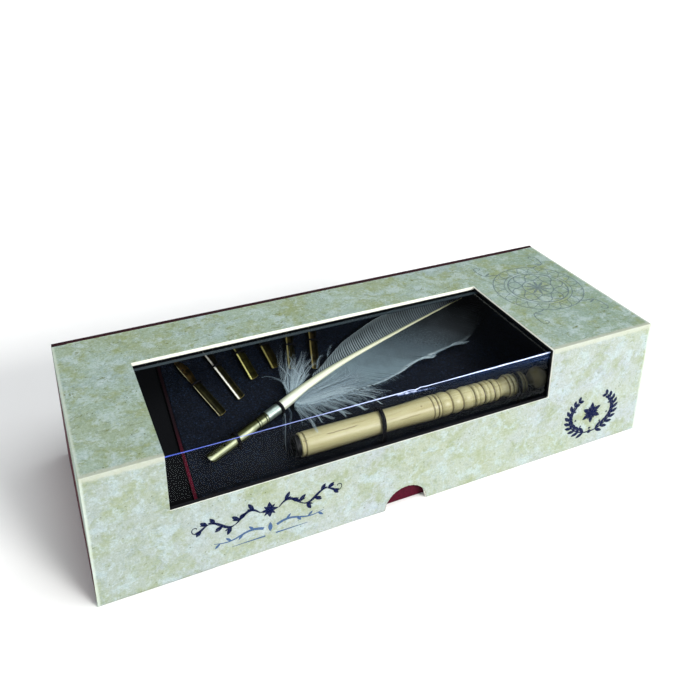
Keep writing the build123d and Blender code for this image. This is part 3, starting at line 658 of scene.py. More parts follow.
def turned_wood():
    """Pale turned wood: long pores and grain along X, faint lathe rings, random dust, dark burn lines and painted shade
    in the grooves, a neck and ball darkened as painted shade, two drying cracks.
    """
    m = M("turned_pale_wood")
    x, y, z = m.sep()
    dy = m.math("SUBTRACT", y, HOLD_O.y)
    dz = m.math("SUBTRACT", z, HOLD_O.z)
    us = m.math("ADD", m.math("MULTIPLY", dy, CT), m.math("MULTIPLY", dz, ST))
    un = m.math("SUBTRACT", m.math("MULTIPLY", dz, CT), m.math("MULTIPLY", dy, ST))
    rad = m.math("SQRT", m.math("ADD", m.math("MULTIPLY", us, us), m.math("MULTIPLY", un, un)))
    grain = m.noise(1.0, 5, 0.6, v=m.mapping(scale=(0.035, 0.62, 0.62)), dist=0.25)
    pores = m.noise(1.0, 3, 0.7, v=m.mapping(scale=(0.10, 3.2, 3.2)))
    cloud = m.noise(0.06, 3, 0.5, v=m.mapping(scale=(0.6, 1.6, 1.6)))
    c = m.ramp(grain, [(0.30, lin(152, 142, 94)), (0.48, lin(172, 164, 118)), (0.62, lin(180, 173, 130)),
                       (0.78, lin(158, 148, 98))])
    c = m.mix(m.math("MULTIPLY", m.step(cloud, 0.42, 0.66), 0.35), c, lin(168, 156, 106))
    c = m.mix(m.math("MULTIPLY", m.step(pores, 0.60, 0.74), 0.45), c, lin(132, 116, 70))
    # dust: darker patches at random
    dust = m.math("MULTIPLY", m.step(m.noise(0.8, 3, 0.6), 0.45, 0.75), 0.25)
    c = m.mix(dust, c, lin(152, 138, 92))
    # drying cracks, thin dark lines along the grain
    wob = m.math("MULTIPLY", m.math("SUBTRACT", m.noise(0.35, 3, 0.5, v=m.mapping(scale=(1, 0, 0))), 0.5), 0.9)
    marks = None
    for u0, xa, xb, wd in ((-1.35, -31.1, -14.1, 0.14), (-1.55, -43.4, -39.2, 0.11), (-3.9, 6.0, 19.0, 0.05)):
        d = m.math("ABSOLUTE", m.math("SUBTRACT", m.math("ADD", us, wob), u0))
        k = m.math("MULTIPLY", m.step(d, wd * 1.7, wd * 0.5),
                   m.math("MULTIPLY", m.step(x, xa, xa + 1.2), m.step(x, xb, xb - 1.8)))
        k = m.math("MULTIPLY", k, m.step(un, 0.0, 0.5))
        marks = k if marks is None else m.math("MAXIMUM", marks, k)
    c = m.mix(m.math("MULTIPLY", marks, 0.8), c, lin(84, 62, 34))
    # dark burn lines in the turned grooves, with painted shade in them, x from the handle's left end
    gx = m.math("SUBTRACT", x, HOLD_O.x)
    groove = None
    for g0, wd, k in ((1.95, 0.34, 0.55), (68.9, 0.34, 0.80), (71.45, 0.40, 0.80), (73.3, 0.55, 0.55), (79.6, 0.80, 0.62),
                      (85.8, 0.80, 0.62), (92.72, 0.46, 0.85), (98.65, 0.46, 0.88), (104.45, 0.46, 0.88), (107.6, 0.42, 0.55),
                      (113.3, 0.50, 0.72), (115.75, 0.40, 0.72), (118.4, 0.60, 0.72), (122.8, 0.40, 0.72), (126.4, 1.30, 0.60)):
        q = m.math("MULTIPLY", m.step(m.math("ABSOLUTE", m.math("SUBTRACT", gx, g0)), wd, wd * 0.35), k)
        groove = q if groove is None else m.math("MAXIMUM", groove, q)
    c = m.mix(groove, c, lin(62, 42, 16))
    # painted shade over the neck and ball finial at the right-hand end
    c = m.mix(m.math("MULTIPLY", m.step(gx, 121.5, 127.0), 0.72), c, lin(66, 58, 26))
    # a small knot mark near the right-hand end of the plain grip
    kd = m.vmath("DISTANCE", m.mm, (19.4, -30.6, 36.6), out="Value")
    c = m.mix(m.math("MULTIPLY", m.step(kd, 0.75, 0.3), 0.75), c, lin(96, 72, 40))
    ring = m.noise(1.0, 2, 0.6, v=m.mapping(scale=(2.4, 0.0, 0.0)))
    h = m.math("ADD", m.math("MULTIPLY", pores, -0.5), m.math("MULTIPLY", ring, 0.5))
    h = m.math("SUBTRACT", h, m.math("MULTIPLY", marks, 2.0))
    c = m.mix(1.0, c, (0.86, 0.885, 0.92, 1.0), "MULTIPLY")
    m.principled(Base_Color=c, Roughness=m.math("MULTIPLY_ADD", pores, 0.16, 0.34), Normal=m.bump(h, 0.05, 0.6))
    m.bsdf.inputs["Specular IOR Level"].default_value = 0.28
    m.bsdf.inputs["Coat Weight"].default_value = 0.08
    m.bsdf.inputs["Coat Roughness"].default_value = 0.25
    return m


def black_plastic():
    m = M("black_socket_plastic")
    g = m.noise(0.9, 3, 0.6)
    m.principled(Base_Color=m.ramp(g, [(0.3, lin(3, 3, 4)), (0.7, lin(9, 9, 10))]),
                 Roughness=m.math("MULTIPLY_ADD", g, 0.15, 0.42), Normal=m.bump(g, 0.03, 0.4))
    m.bsdf.inputs["Specular IOR Level"].default_value = 0.16
    return m


def elastic():
    """Black wound elastic; u runs round the cord, v along it (attributes in mm)."""
    m = M("black_elastic_cord")
    v = m.attr("along")
    u = m.attr("round")
    tw = m.math("SINE", m.math("ADD", m.math("MULTIPLY", v, 14.0), m.math("MULTIPLY", u, 6.2832)))
    g = m.noise(3.0, 3, 0.6)
    c = m.mix(m.step(tw, -0.4, 0.9), lin(3, 3, 5), lin(17, 18, 22))
    m.principled(Base_Color=c, Roughness=0.75, Normal=m.bump(m.math("ADD", tw, g), 0.05, 0.8))
    m.bsdf.inputs["Specular IOR Level"].default_value = 0.08
    return m


def quill():
    """Feather shaft: horn-like ivory, translucent at the barrel, with fine length-wise lines. v 0..1 along it."""
    m = M("quill_shaft_horn")
    v = m.attr("along")
    lines = m.noise(1.0, 3, 0.6, v=m.mapping(scale=(0.10, 2.4, 2.4), rot=(0, 0, 0.0)))
    c = m.ramp(v, [(0.0, lin(206, 214, 204)), (0.12, lin(216, 220, 206)), (0.45, lin(208, 208, 186)),
                   (0.8, lin(194, 194, 162)), (1.0, lin(176, 176, 138))])
    c = m.mix(m.math("MULTIPLY", m.step(lines, 0.5, 0.72), 0.28), c, lin(172, 172, 144))
    side = m.attr("round")                                       # -1 on the upper side of the feather, +1 on the lower
    # painted shade: the upper side of the shaft and its lowest edge darker and greener
    c = m.mix(m.math("MULTIPLY", m.step(side, 0.10, -0.45), 0.75), c, lin(158, 166, 132))
    c = m.mix(m.math("MULTIPLY", m.step(side, 0.72, 0.95), 0.55), c, lin(150, 158, 136))
    m.principled(Base_Color=c, Roughness=m.math("MULTIPLY_ADD", lines, 0.15, 0.30), Normal=m.bump(lines, 0.04, 0.5))
    m.bsdf.inputs["Specular IOR Level"].default_value = 0.35
    m.bsdf.inputs["Subsurface Weight"].default_value = 0.12
    m.bsdf.inputs["Subsurface Radius"].default_value = (0.0012, 0.0011, 0.0008)
    m.bsdf.inputs["Subsurface Scale"].default_value = 1.0
    return m


def barb(name, tip_shaded_tones, gap_shade, solid):
    """Feather vane barbs, darkened towards the tip and in the gaps between ribs as painted shade. Attributes: tint per
    barb (strength of the painted gap shade), out 0 at the shaft to 1 at the edge, lng 0..1 base to tip.
    """
    m = M(name)
    out, lng, tint = m.attr("out"), m.attr("lng"), m.attr("tint")
    ridge = m.attr("ridge")
    c = m.ramp(lng, [(p, lin(*rgb)) for p, rgb in tip_shaded_tones])
    hair = m.noise(2.6, 3, 0.65)
    mott = m.noise(0.12, 4, 0.55)
    c = m.mix(m.math("MULTIPLY", m.step(mott, 0.42, 0.66), 0.30), c, lin(58, 66, 70))
    # painted shade: dark gaps between the ribs, strongest next to the shaft and gone at the outer edge
    near_shaft = m.step(out, 0.92, 0.55)
    c = m.mix(m.math("MULTIPLY", m.math("MULTIPLY", tint, near_shaft), gap_shade), c, lin(14, 17, 20))
    c = m.mix(m.math("MULTIPLY", m.step(hair, 0.5, 0.75), 0.22), c, lin(138, 152, 158))
    # painted shade on the low side of each barb
    c = m.mix(m.math("MULTIPLY", m.step(ridge, 0.35, 0.0), 0.35), c, lin(24, 28, 31))
    rim = m.math("MULTIPLY", m.step(out, 0.90, 0.985), m.step(lng, 0.82, 0.46))
    c = m.mix(m.math("MULTIPLY", rim, 0.70), c, lin(190, 206, 208))
    thin = m.math("MULTIPLY_ADD", m.step(lng, 0.45, 1.0), -0.18, solid)
    alpha = m.math("MULTIPLY", thin, m.math("MULTIPLY_ADD", hair, 0.22, 0.86), clamp=True)
    m.principled(Base_Color=c, Roughness=0.6, Alpha=alpha, Normal=m.bump(hair, 0.05, 0.6))
    m.bsdf.inputs["Specular IOR Level"].default_value = 0.15
    m.bsdf.inputs["Sheen Weight"].default_value = 0.06
    m.bsdf.inputs["Sheen Roughness"].default_value = 0.4
    return m


def down():
    """White-blue down hairs, a little see-through."""
    m = M("feather_down")
    t = m.attr("tint")
    c = m.mix(t, lin(196, 214, 218), lin(112, 134, 146))
    c = m.mix(m.math("MULTIPLY", m.step(m.noise(1.6, 3, 0.6), 0.45, 0.7), 0.35), c, lin(98, 118, 130))
    faint = m.attr("faint")
    m.principled(Base_Color=c, Roughness=0.7, Alpha=m.math("MULTIPLY_ADD", faint, -0.58, 0.86))
    m.bsdf.inputs["Specular IOR Level"].default_value = 0.12
    return m


def film():
    """Clear film: mirrors by angle, lets the rest through; a painted reflection at its fold: a blue-white line in
    diffuse colour.
    """
    m = M("clear_window_film")
    x, y, z = m.sep()
    face = m.node("ShaderNodeLayerWeight", {"Blend": 0.5}).outputs["Facing"]
    fres = m.math("MINIMUM", m.math("MULTIPLY_ADD", m.math("POWER", face, 5.0), 1.75, 0.0035), 0.85)
    smear = m.noise(0.05, 4, 0.6, v=m.mapping(scale=(1, 2.2, 2.2)))
    wave = m.noise(0.018, 2, 0.5, v=m.mapping(scale=(0.7, 1.6, 1.6)))
    nor = m.bump(wave, 1.0, 0.12)
    # along the rear cut a painted reflection of the cream cut edge: a dull grey-teal strip, with painted shadow as a
    # dark line on each side
    inside = m.math("MULTIPLY", m.step(x, WX0 - 0.1, WX0), m.step(x, WX1, WX1 - 0.1))
    reflection_strip_mask = m.math("MULTIPLY", m.math("MULTIPLY", m.step(y, WREAR - 4.1, WREAR - 3.8), m.step(z, H - T - 1.2, H - T - 1.0)), inside)
    lines = m.math("MAXIMUM", m.step(y, WREAR - 3.60, WREAR - 3.85), m.step(y, WREAR - 1.75, WREAR - 1.40))
    gloss = m.node("ShaderNodeBsdfAnisotropic", {"Color": (0.90, 0.97, 1.0, 1.0), "Roughness": 0.012, "Normal": nor})
    clear = m.node("ShaderNodeBsdfTransparent", {"Color": (0.955, 0.965, 0.985, 1.0)})
    a = m.node("ShaderNodeMixShader", {0: fres, 1: clear.outputs[0], 2: gloss.outputs[0]})
    # the painted fold reflection is a diffuse colour, blue on the left and whiter to the right
    painted_fold_reflection = m.attr("painted_fold_reflection")
    tone = m.mix(m.step(x, -110.0, 20.0), lin(78, 94, 188), lin(206, 218, 250))
    tone = m.mix(m.step(painted_fold_reflection, 0.60, 0.15), tone, lin(44, 78, 138))
    fold_reflection_bsdf = m.node("ShaderNodeBsdfDiffuse", {"Color": tone})
    b = m.node("ShaderNodeMixShader", {0: painted_fold_reflection, 1: a.outputs[0], 2: fold_reflection_bsdf.outputs[0]})
    reflection_strip_colour = m.mix(m.step(x, -90.0, 80.0), lin(52, 61, 66), lin(36, 46, 52))
    reflection_strip_colour = m.mix(m.math("MULTIPLY", m.step(m.noise(0.06, 3, 0.6, v=m.mapping(scale=(1, 3, 3))), 0.40, 0.66), 0.30), reflection_strip_colour, lin(44, 58, 64))
    reflection_strip_bsdf = m.node("ShaderNodeBsdfDiffuse", {"Color": m.mix(lines, reflection_strip_colour, lin(5, 6, 8))})
    e = m.node("ShaderNodeMixShader", {0: m.math("MULTIPLY", reflection_strip_mask, 0.88), 1: b.outputs[0], 2: reflection_strip_bsdf.outputs[0]})
    m.nt.links.new(e.outputs[0], m.out.inputs[0])
    return m


def ink(name, rgb, cover):
    """Printed ink, slightly broken by the paper under it."""
    m = M(name)
    g = m.noise(1.7, 4, 0.7)
    c = m.mix(m.math("MULTIPLY", m.step(g, 0.5, 0.75), 0.35), lin(*rgb), lin(*[min(255, c + 26) for c in rgb]))
    al = m.math("MULTIPLY_ADD", m.step(m.noise(2.4, 3, 0.7), 0.30, 0.52), cover * 0.35, cover * 0.65, clamp=True)
    m.principled(Base_Color=c, Roughness=0.5, Alpha=al)
    m.bsdf.inputs["Specular IOR Level"].default_value = 0.05
    return m


def grey_board():
    m = M("grey_board_core")
    g = m.noise(0.8, 5, 0.7)
    f = m.noise(0.3, 3, 0.6, v=m.mapping(scale=(0.3, 1.6, 1.6)))
    c = m.ramp(g, [(0.3, lin(98, 95, 90)), (0.55, lin(128, 125, 118)), (0.8, lin(150, 147, 140))])
    c = m.mix(m.math("MULTIPLY", m.step(f, 0.55, 0.7), 0.4), c, lin(168, 163, 150))
    m.principled(Base_Color=c, Roughness=0.85, Normal=m.bump(g, 0.12, 0.7))
    m.bsdf.inputs["Specular IOR Level"].default_value = 0.15
    return m


PARCHMENT, EDGE, BLACK, BURGUNDY = parchment(), board_edge(), black_paper(tone=0.62), burgundy_paper()
EDGE_BLACK = edge_blacked()
CLOTH, NAVY, SILVER, WOOD = book_cloth(), leatherette(), silver(), turned_wood()
PLASTIC, ELASTIC, QUILL, DOWN, FILM = black_plastic(), elastic(), quill(), down(), film()
# vane tones darken to near black towards the tip: painted shade
UPPER_BARB = barb("upper_vane_barbs", [(0.0, (124, 138, 140)), (0.30, (120, 133, 136)), (0.55, (92, 103, 108)),
                                       (0.8, (50, 57, 61)), (1.0, (20, 23, 25))], 0.98, 0.97)
LOWER_BARB = barb("lower_vane_barbs", [(0.0, (122, 140, 142)), (0.25, (100, 118, 124)), (0.50, (62, 75, 81)),
                                       (0.75, (24, 29, 32)), (1.0, (5, 6, 7))], 0.25, 0.88)
INK_NAVY = ink("navy_ink", (5, 14, 50), 0.97)
INK_FAINT_BLUE = ink("mid_blue_ink", (58, 84, 122), 0.85)
INK_FAINT = ink("faint_blue_grey_ink", (104, 122, 134), 0.50)
GREY = grey_board()


# ---------------------------------------------------------------------------
# Lid: one paper-wrapped board shell (top, front and two gussets)
# ---------------------------------------------------------------------------
def near(a, b, tol=0.06):
    return abs(a - b) < tol


lid_poly = [(-W / 2, FLOOR_GAP), (-W / 2 + T, FLOOR_GAP), (-W / 2 + T, cut_z(-W / 2 + T, 0.3)),
            (48.2, cut_z(48.2, 0.3)), (48.2, H - T), (TOP_REAR, H - T), (TOP_REAR, H), (-W / 2, H)]
lid = prism_yz(lid_poly, -L / 2, L / 2)
lid.name = lid.data.name = "lid_paper_wrapped_shell"
cut(lid, box(-L / 2 + T, L / 2 - T, -W / 2 + T, 60, -5, H - T))
cut(lid, box(WX0, WX1, -60, WREAR, H - T - 1, H + 5))
cut(lid, box(WX0, WX1, -60, -W / 2 + T + 1, WBOT, H + 4))
circle = [(NOTCH_X + NOTCH_R * math.cos(2 * math.pi * k / 72), NOTCH_R * math.sin(2 * math.pi * k / 72)) for k in range(72)]
cut(lid, prism_xz(circle, -60, -46))


def lid_radius(m, d, n):
    side, front, top = near(abs(m.x), L / 2), near(m.y, -W / 2), near(m.z, H)
    if front and top and abs(d.x) > 0.9:
        return 1.9
    if (side and top) or (side and front and abs(d.z) > 0.9):
        return 0.8
    if near(m.z, FLOOR_GAP):
        return 0.45
    if side and m.y > -49.2:
        return 0.4
    if near(m.y, TOP_REAR) and top:
        return 0.35
    if front or top:
        return 0.22
    return 0.0


bevel(lid, lid_radius, 1.9, 5)
gridded(lid, (7, 7, 7))
for v in lid.data.vertices:
    p, n = v.co * 1000, v.normal.copy()
    if min(abs(p.x - WX0), abs(p.x - WX1)) < 0.4 and (p.y < WREAR + 0.4 and p.z > WBOT - 0.4):   # the cuts stay straight
        n.x = 0.0
    if abs(p.y - WREAR) < 0.4 and p.z > 64.0:
        n.y = 0.0
    if abs(p.z - WBOT) < 0.4 and p.y < -50.0:
        n.z = 0.0
    n.normalize()
    a = noise.noise(p * 0.021 + Vector((3, 9, 5))) * 0.5 + noise.noise(p * 0.07) * 0.14
    v.co -= n * (0.10 + 0.16 * a) * MM if (near(abs(p.x), L / 2, 0.3) or p.y < -51.0 or p.z > 64.6) else Vector((0, 0, 0))
for m in (PARCHMENT, EDGE, BLACK, EDGE_BLACK):
    lid.data.materials.append(m.mat)
for f in lid.data.polygons:
    c, n = f.center * 1000, f.normal
    k = 0
    on_x_cut = (near(c.x, WX0, 0.12) or near(c.x, WX1, 0.12)) and abs(n.x) > 0.9 and c.y < WREAR + 0.1 and c.z > WBOT - 0.1
    on_rear_cut = near(c.y, WREAR, 0.12) and n.y < -0.9 and c.z > 62.5
    on_low_cut = near(c.z, WBOT, 0.12) and n.z > 0.9 and c.y < -49
    on_notch = abs(math.hypot(c.x - NOTCH_X, c.z) - NOTCH_R) < 0.1 and abs(n.y) < 0.4
    if on_x_cut or on_low_cut:
        k = 3
    elif on_rear_cut or on_notch:
        k = 1
    elif (n.z < -0.7 and c.z > 62.4) or (n.y > 0.7 and c.y < -48.9 and c.z > 1.2) or \
         (abs(n.x) > 0.7 and near(abs(c.x), L / 2 - T, 0.1) and n.x * c.x < 0):
        k = 2
    f.material_index = k


def paper(u, v, top=False, over=0.045):
    """A point just above the printed paper: u, v are x, z on the front or x, y on the top."""
    p, n = (Vector((u, v, H)), Vector((0, 0, 1))) if top else (Vector((u, -W / 2, v)), Vector((0, -1, 0)))
    a = noise.noise(p * 0.021 + Vector((3, 9, 5))) * 0.5 + noise.noise(p * 0.07) * 0.14
    return p - n * (0.10 + 0.16 * a - over)


class Print:
    """Flat printed shapes made of ribbons of varying width."""

    def __init__(self, top):
        self.top, self.v, self.f = top, [], []

    def stroke(self, pts, width):
        n, base = len(pts), len(self.v)
        for i, (x, y) in enumerate(pts):
            (xa, ya), (xb, yb) = pts[max(0, i - 1)], pts[min(n - 1, i + 1)]
            ln = math.hypot(xb - xa, yb - ya) or 1.0
            w_ = width(i / (n - 1)) / 2 if callable(width) else width / 2
            ox, oy = -(yb - ya) / ln * w_, (xb - xa) / ln * w_
            self.v += [paper(x + ox, y + oy, self.top), paper(x - ox, y - oy, self.top)]
        self.f += [(base + 2 * i, base + 2 * i + 1, base + 2 * i + 3, base + 2 * i + 2) for i in range(n - 1)]

    def leaf(self, x, y, deg, ln, wd):
        c, s_ = math.cos(math.radians(deg)), math.sin(math.radians(deg))
        self.stroke([(x + c * ln * k / 8, y + s_ * ln * k / 8) for k in range(9)],
                    lambda t: max(0.05, wd * math.sin(math.pi * t) ** 0.8))

    def dot(self, x, y, r):
        self.stroke([(x - r * math.cos(math.pi * k / 10), y) for k in range(11)],
                    lambda t: max(0.02, 2 * r * math.sin(math.pi * t)))

    def into(self, obj, slot):
        """Joins the print into obj with the material slot given."""
        me = bpy.data.meshes.new("print")
        me.from_pydata([tuple(q * MM) for q in self.v], [], self.f)
        me.update()
        want = Vector((0, 0, 1)) if self.top else Vector((0, -1, 0))
        for q in me.polygons:
            q.material_index = slot
        bm = bmesh.new()
        bm.from_mesh(me)
        bmesh.ops.reverse_faces(bm, faces=[f_ for f_ in bm.faces if f_.normal.dot(want) < 0])
        bm.to_mesh(me)
        bm.free()
        bm = bmesh.new()
        bm.from_mesh(obj.data)
        bm.from_mesh(me)
        bm.to_mesh(obj.data)
        bm.free()
        bpy.data.meshes.remove(me)


# a leafy wreath with a small flower, front right, navy
pr = Print(False)
for sgn in (-1, 1):
    arc_ = [(108.4 + sgn * 14.2 * math.sin(a_), 19.8 - 11.6 * math.cos(a_)) for a_ in (0.08 + 2.42 * k / 40 for k in range(41))]
    pr.stroke(arc_, lambda t: 0.80 - 0.30 * t)
    for k in range(3, 40, 4):
        (xa, ya), (xb, yb) = arc_[k - 1], arc_[k + 1]
        deg = math.degrees(math.atan2(yb - ya, xb - xa))
        for turn in (-38, 38):
            pr.leaf(arc_[k][0], arc_[k][1], deg + turn, 5.4 - 0.05 * k, 2.0)
        if k % 8 == 3:
            pr.dot(arc_[k][0] - sgn * 3.4, arc_[k][1] + 1.8, 0.6)
for k in range(6):
    pr.leaf(108.4, 20.0, 60 * k + 30, 6.4, 2.6)
    pr.leaf(108.4, 20.0, 60 * k, 4.6, 1.0)
pr.dot(108.4, 8.2, 1.2)
pr.into(lid, 4)
# a long flourish with two finer rules below it, front left
pr, fine_ = Print(False), Print(False)
for sgn in (-1, 1):
    pts = [(-66 + sgn * (4.2 + 27.5 * t), 22.4 + 3.0 * math.sin(3.15 * math.pi * t) * (1 - 0.30 * t)) for t in (k / 60 for k in range(61))]
    cx_, cz_ = pts[-1][0] + sgn * 0.4, pts[-1][1] + 2.5
    pts += [(cx_ + sgn * (2.5 - 0.17 * k) * math.sin(k * 0.33), cz_ - (2.5 - 0.17 * k) * math.cos(k * 0.33)) for k in range(1, 14)]
    pr.stroke(pts, lambda t: 0.45 + 0.95 * abs(math.sin(3.0 * math.pi * t)) if t < 0.80 else 0.42)
    for t, deg in ((0.10, 60), (0.22, -35), (0.34, 42), (0.47, -62), (0.60, -30), (0.72, 58), (0.84, 35), (0.94, -50)):
        q = pts[int(t * 60)]
        pr.leaf(q[0], q[1], deg if sgn > 0 else 180 - deg, 5.0 - 1.4 * t, 1.9)
        pr.leaf(q[0], q[1], (deg * 0.4 if sgn > 0 else 180 - deg * 0.4), 3.4, 1.0)
    fine_.stroke([(-66 + sgn * (3.0 + 22.0 * t), 13.2 + 1.5 * math.sin(2.0 * math.pi * t) * (1 - 0.4 * t)) for t in (k / 40 for k in range(41))],
                 lambda t: 1.15 * (1 - t) + 0.30)
    for t, deg in ((0.2, 48), (0.42, -48), (0.66, 44), (0.88, -40)):
        fine_.leaf(-66 + sgn * (3.0 + 22.0 * t), 13.2 + 1.5 * math.sin(2.0 * math.pi * t) * (1 - 0.4 * t),
                   deg if sgn > 0 else 180 - deg, 3.2, 1.2)
    fine_.stroke([(-66 + sgn * (2.4 + 15.0 * t), 8.8) for t in (k / 24 for k in range(25))], lambda t: 0.62 * (1 - t) + 0.22)
pr.leaf(-66, 18.4, 90, 8.4, 2.8)
pr.leaf(-70.2, 22.4, 0, 8.4, 2.2)
for deg in (45, 135, 225, 315):
    pr.leaf(-66, 22.4, deg, 3.6, 1.2)
fine_.leaf(-66, 10.6, 90, 5.0, 2.0)
pr.into(lid, 4)
fine_.into(lid, 5)
# faint line-drawn rosette and tendrils, top right
pr = Print(True)
OX, OY = 111.0, 4.0
for r_, wd in ((8.4, 0.55), (16.4, 0.70), (18.4, 0.45), (24.5, 0.60)):
    pr.stroke([(OX + r_ * math.cos(a_), OY + r_ * math.sin(a_)) for a_ in (2 * math.pi * k / 72 for k in range(73))], wd)
for k in range(10):
    a_ = 2 * math.pi * k / 10
    for off in (-0.30, 0.30):
        pr.stroke([(OX + (8.4 + 8.0 * t) * math.cos(a_ + off * math.sin(math.pi * t)),
                    OY + (8.4 + 8.0 * t) * math.sin(a_ + off * math.sin(math.pi * t))) for t in (j / 12 for j in range(13))], 0.6)
    pr.leaf(OX, OY, math.degrees(a_), 8.0, 1.5)
for k in range(20):                                    # scallops between the outer circles
    a_ = 2 * math.pi * k / 20
    pr.stroke([(OX + (18.6 + 5.4 * math.sin(math.pi * t)) * math.cos(a_ + 0.314 * t),
                OY + (18.6 + 5.4 * math.sin(math.pi * t)) * math.sin(a_ + 0.314 * t)) for t in (j / 10 for j in range(11))], 0.42)
for sgn in (-1, 1):                                    # tendrils that leave the outer circle and curl up
    for tw in (-1, 1):
        sx_, sy_ = OX + tw * 24.5 * 0.5, OY + sgn * 24.5 * 0.866
        pts = [(sx_ + tw * (9.0 * t + 3.0 * math.sin(math.pi * t)), sy_ + sgn * (10.5 * t - 3.2 * math.sin(math.pi * t) ** 2)) for t in (k / 30 for k in range(31))]
        pts += [(pts[-1][0] - tw * (2.6 - (2.6 - 0.15 * k) * math.cos(k * 0.36)), pts[-1][1] + sgn * (2.6 - 0.15 * k) * math.sin(k * 0.36)) for k in range(1, 15)]
        pr.stroke(pts, lambda t: 0.80 - 0.42 * t)
        q = pts[14]
        pr.leaf(q[0], q[1], math.degrees(math.atan2(sgn * 0.5, -tw * 1.0)) if sgn else 0, 4.6, 1.2)
pr.into(lid, 6)
for m in (INK_NAVY, INK_FAINT_BLUE, INK_FAINT):
    lid.data.materials.append(m.mat)
soften(lid)
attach(lid, "lid")
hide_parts("lid_top_panel", "lid_front_panel", "lid_left_gusset", "lid_right_gusset")

# ---------------------------------------------------------------------------
# Window film: one sheet, bent under the front top edge, with a creased fold
# ---------------------------------------------------------------------------
FX0, FX1 = WX0 - 5.4, WX1 + 5.4
y_in, z_in, r_f = -W / 2 + T + 0.16, H - T - 0.16, 0.9
rows = []                                   # (y, z, distance from the middle of the fold)
arc = r_f * math.pi / 2
for k in range(34):
    y = WREAR + 5.4 + (y_in + 1.6 - WREAR - 5.4) * k / 33
    rows.append((y, z_in, y - (y_in + r_f) + arc / 2))
for k in range(1, 6):
    y = y_in + 1.6 + (r_f - 1.6) * k / 6
    rows.append((y, z_in, y - (y_in + r_f) + arc / 2))
for k in range(15):
    a = math.pi / 2 * k / 14
    rows.append((y_in + r_f - r_f * math.sin(a), z_in - r_f + r_f * math.cos(a), arc / 2 - arc * k / 14))
for k in range(1, 22):
    z = z_in - r_f - (6.0 * k / 21)
    rows.append((y_in, z, -arc / 2 - 6.0 * k / 21))
for k in range(1, 13):
    z = z_in - r_f - 6.0 + (WBOT - 5.4 - (z_in - r_f - 6.0)) * k / 12
    rows.append((y_in, z, -arc / 2 - (z_in - r_f - z)))
NX = 420
fv, ff, painted_fold_reflection = [], [], []
for j, (y, z, d) in enumerate(rows):
    for i in range(NX + 1):
        x = FX0 + (FX1 - FX0) * i / NX
        ex = min(1.0, max(0.0, (x - WX0) / 14.0)) * min(1.0, max(0.0, (WX1 - x) / 14.0))
        ey = min(1.0, max(0.0, (WREAR - y) / 12.0)) if d > 0 else min(1.0, max(0.0, (z - WBOT) / 7.0))
        p = Vector((x, y, z))
        w1 = noise.noise(Vector((x * 0.02, d * 0.03, 1.7)))
        w2 = noise.noise(Vector((x * 0.085, d * 0.05, 6.1)))
        lift = ex * ey * (-0.30 + 0.30 * w1 + 0.05 * w2)
        # the crinkled stretch of the fold, right of the middle
        crk = math.exp(-((x - 22.0) / 13.0) ** 2)
        dent = crk * math.exp(-((d + 0.8) / 1.6) ** 2) * (0.55 + 0.45 * noise.noise(Vector((x * 0.35, 2.0, 0))))
        n = Vector((0, 0, 1)) if d > 0 else Vector((0, -1, 0))
        if abs(d) < arc / 2:
            a = (arc / 2 - d) / arc * math.pi / 2
            n = Vector((0, -math.sin(a), math.cos(a)))
        p += n * (lift - 0.5 * dent * ex)
        fv.append(p)
        # painted reflection at the fold: a bright line, a second faint one below it on the right, a haze and glow below
        wob = 0.10 * noise.noise(Vector((x * 0.12, 0.3, 4.0)))
        side = 1.0 if WX0 < x < WX1 else 0.0
        far = max(0.0, min(1.0, (x + 40) / 90))
        off = 0.55 * math.exp(-((x - 6.0) / 4.0) ** 2) * math.sin(x * 0.9)          # the line jumps at the kink
        line = math.exp(-((d - wob - off) / (0.30 + 0.12 * far)) ** 2) * (0.84 + 0.16 * far + 0.20 * noise.noise(Vector((x * 0.2, 9.0, 0))))
        s = min(1.0, max(0.0, (x - 8.0) / 30.0))
        second = math.exp(-((d + 1.4 + 1.1 * s + 3 * wob) / 0.55) ** 2) * 0.34 * min(1.0, max(0.0, (x - 45.0) / 35.0)) * (0.8 + 0.8 * noise.noise(Vector((x * 0.05, 1.0, 8.0))))
        haze = math.exp(-((d + 0.9) / 1.3) ** 2) * 0.13 * s if d < 0.3 else 0.0
        glow = math.exp(-((d + 3.4) / 2.4) ** 2) * 0.035 * s if d < 0 else 0.0
        spur = 0.0
        if -4.0 < x < 16.0:                                                          # painted reflection of a crinkled triangle at the kink
            q = (x + 4.0) / 20.0
            spur = math.exp(-((d + 0.5 + 2.0 * q) / (0.28 + 0.5 * (1 - q))) ** 2) * (0.9 - 0.5 * q) * (0.7 + 0.6 * noise.noise(Vector((x * 0.7, d * 0.9, 3.0))))
        painted_fold_reflection.append(side * min(0.97, max(line, second, spur, haze, glow)))
for j in range(len(rows) - 1):
    for i in range(NX):
        a = j * (NX + 1) + i
        ff.append((a, a + 1, a + NX + 2, a + NX + 1))
film_ob = mesh_obj("clear_window_film_sheet", fv, ff, [FILM])
at = film_ob.data.attributes.new("painted_fold_reflection", "FLOAT", "POINT")
at.data.foreach_set("value", np.array(painted_fold_reflection, np.float32))
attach(film_ob, "lid")
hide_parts("window_film")

# ---------------------------------------------------------------------------
# Base: one paper-wrapped wedge tray
# ---------------------------------------------------------------------------
base_poly = [(BASE_FRONT, 0), (51.25, 0), (51.25, H - 0.4), (BACK_IN, H - 0.4), (BACK_IN, cut_z(BACK_IN)),
             (BASE_FRONT, cut_z(BASE_FRONT))]
base = prism_yz(base_poly, -L / 2, L / 2)
base.name = base.data.name = "base_paper_wrapped_tray"
cut(base, box(-L / 2 + T, L / 2 - T, BASE_FRONT + T, BACK_IN, T, H + 9))


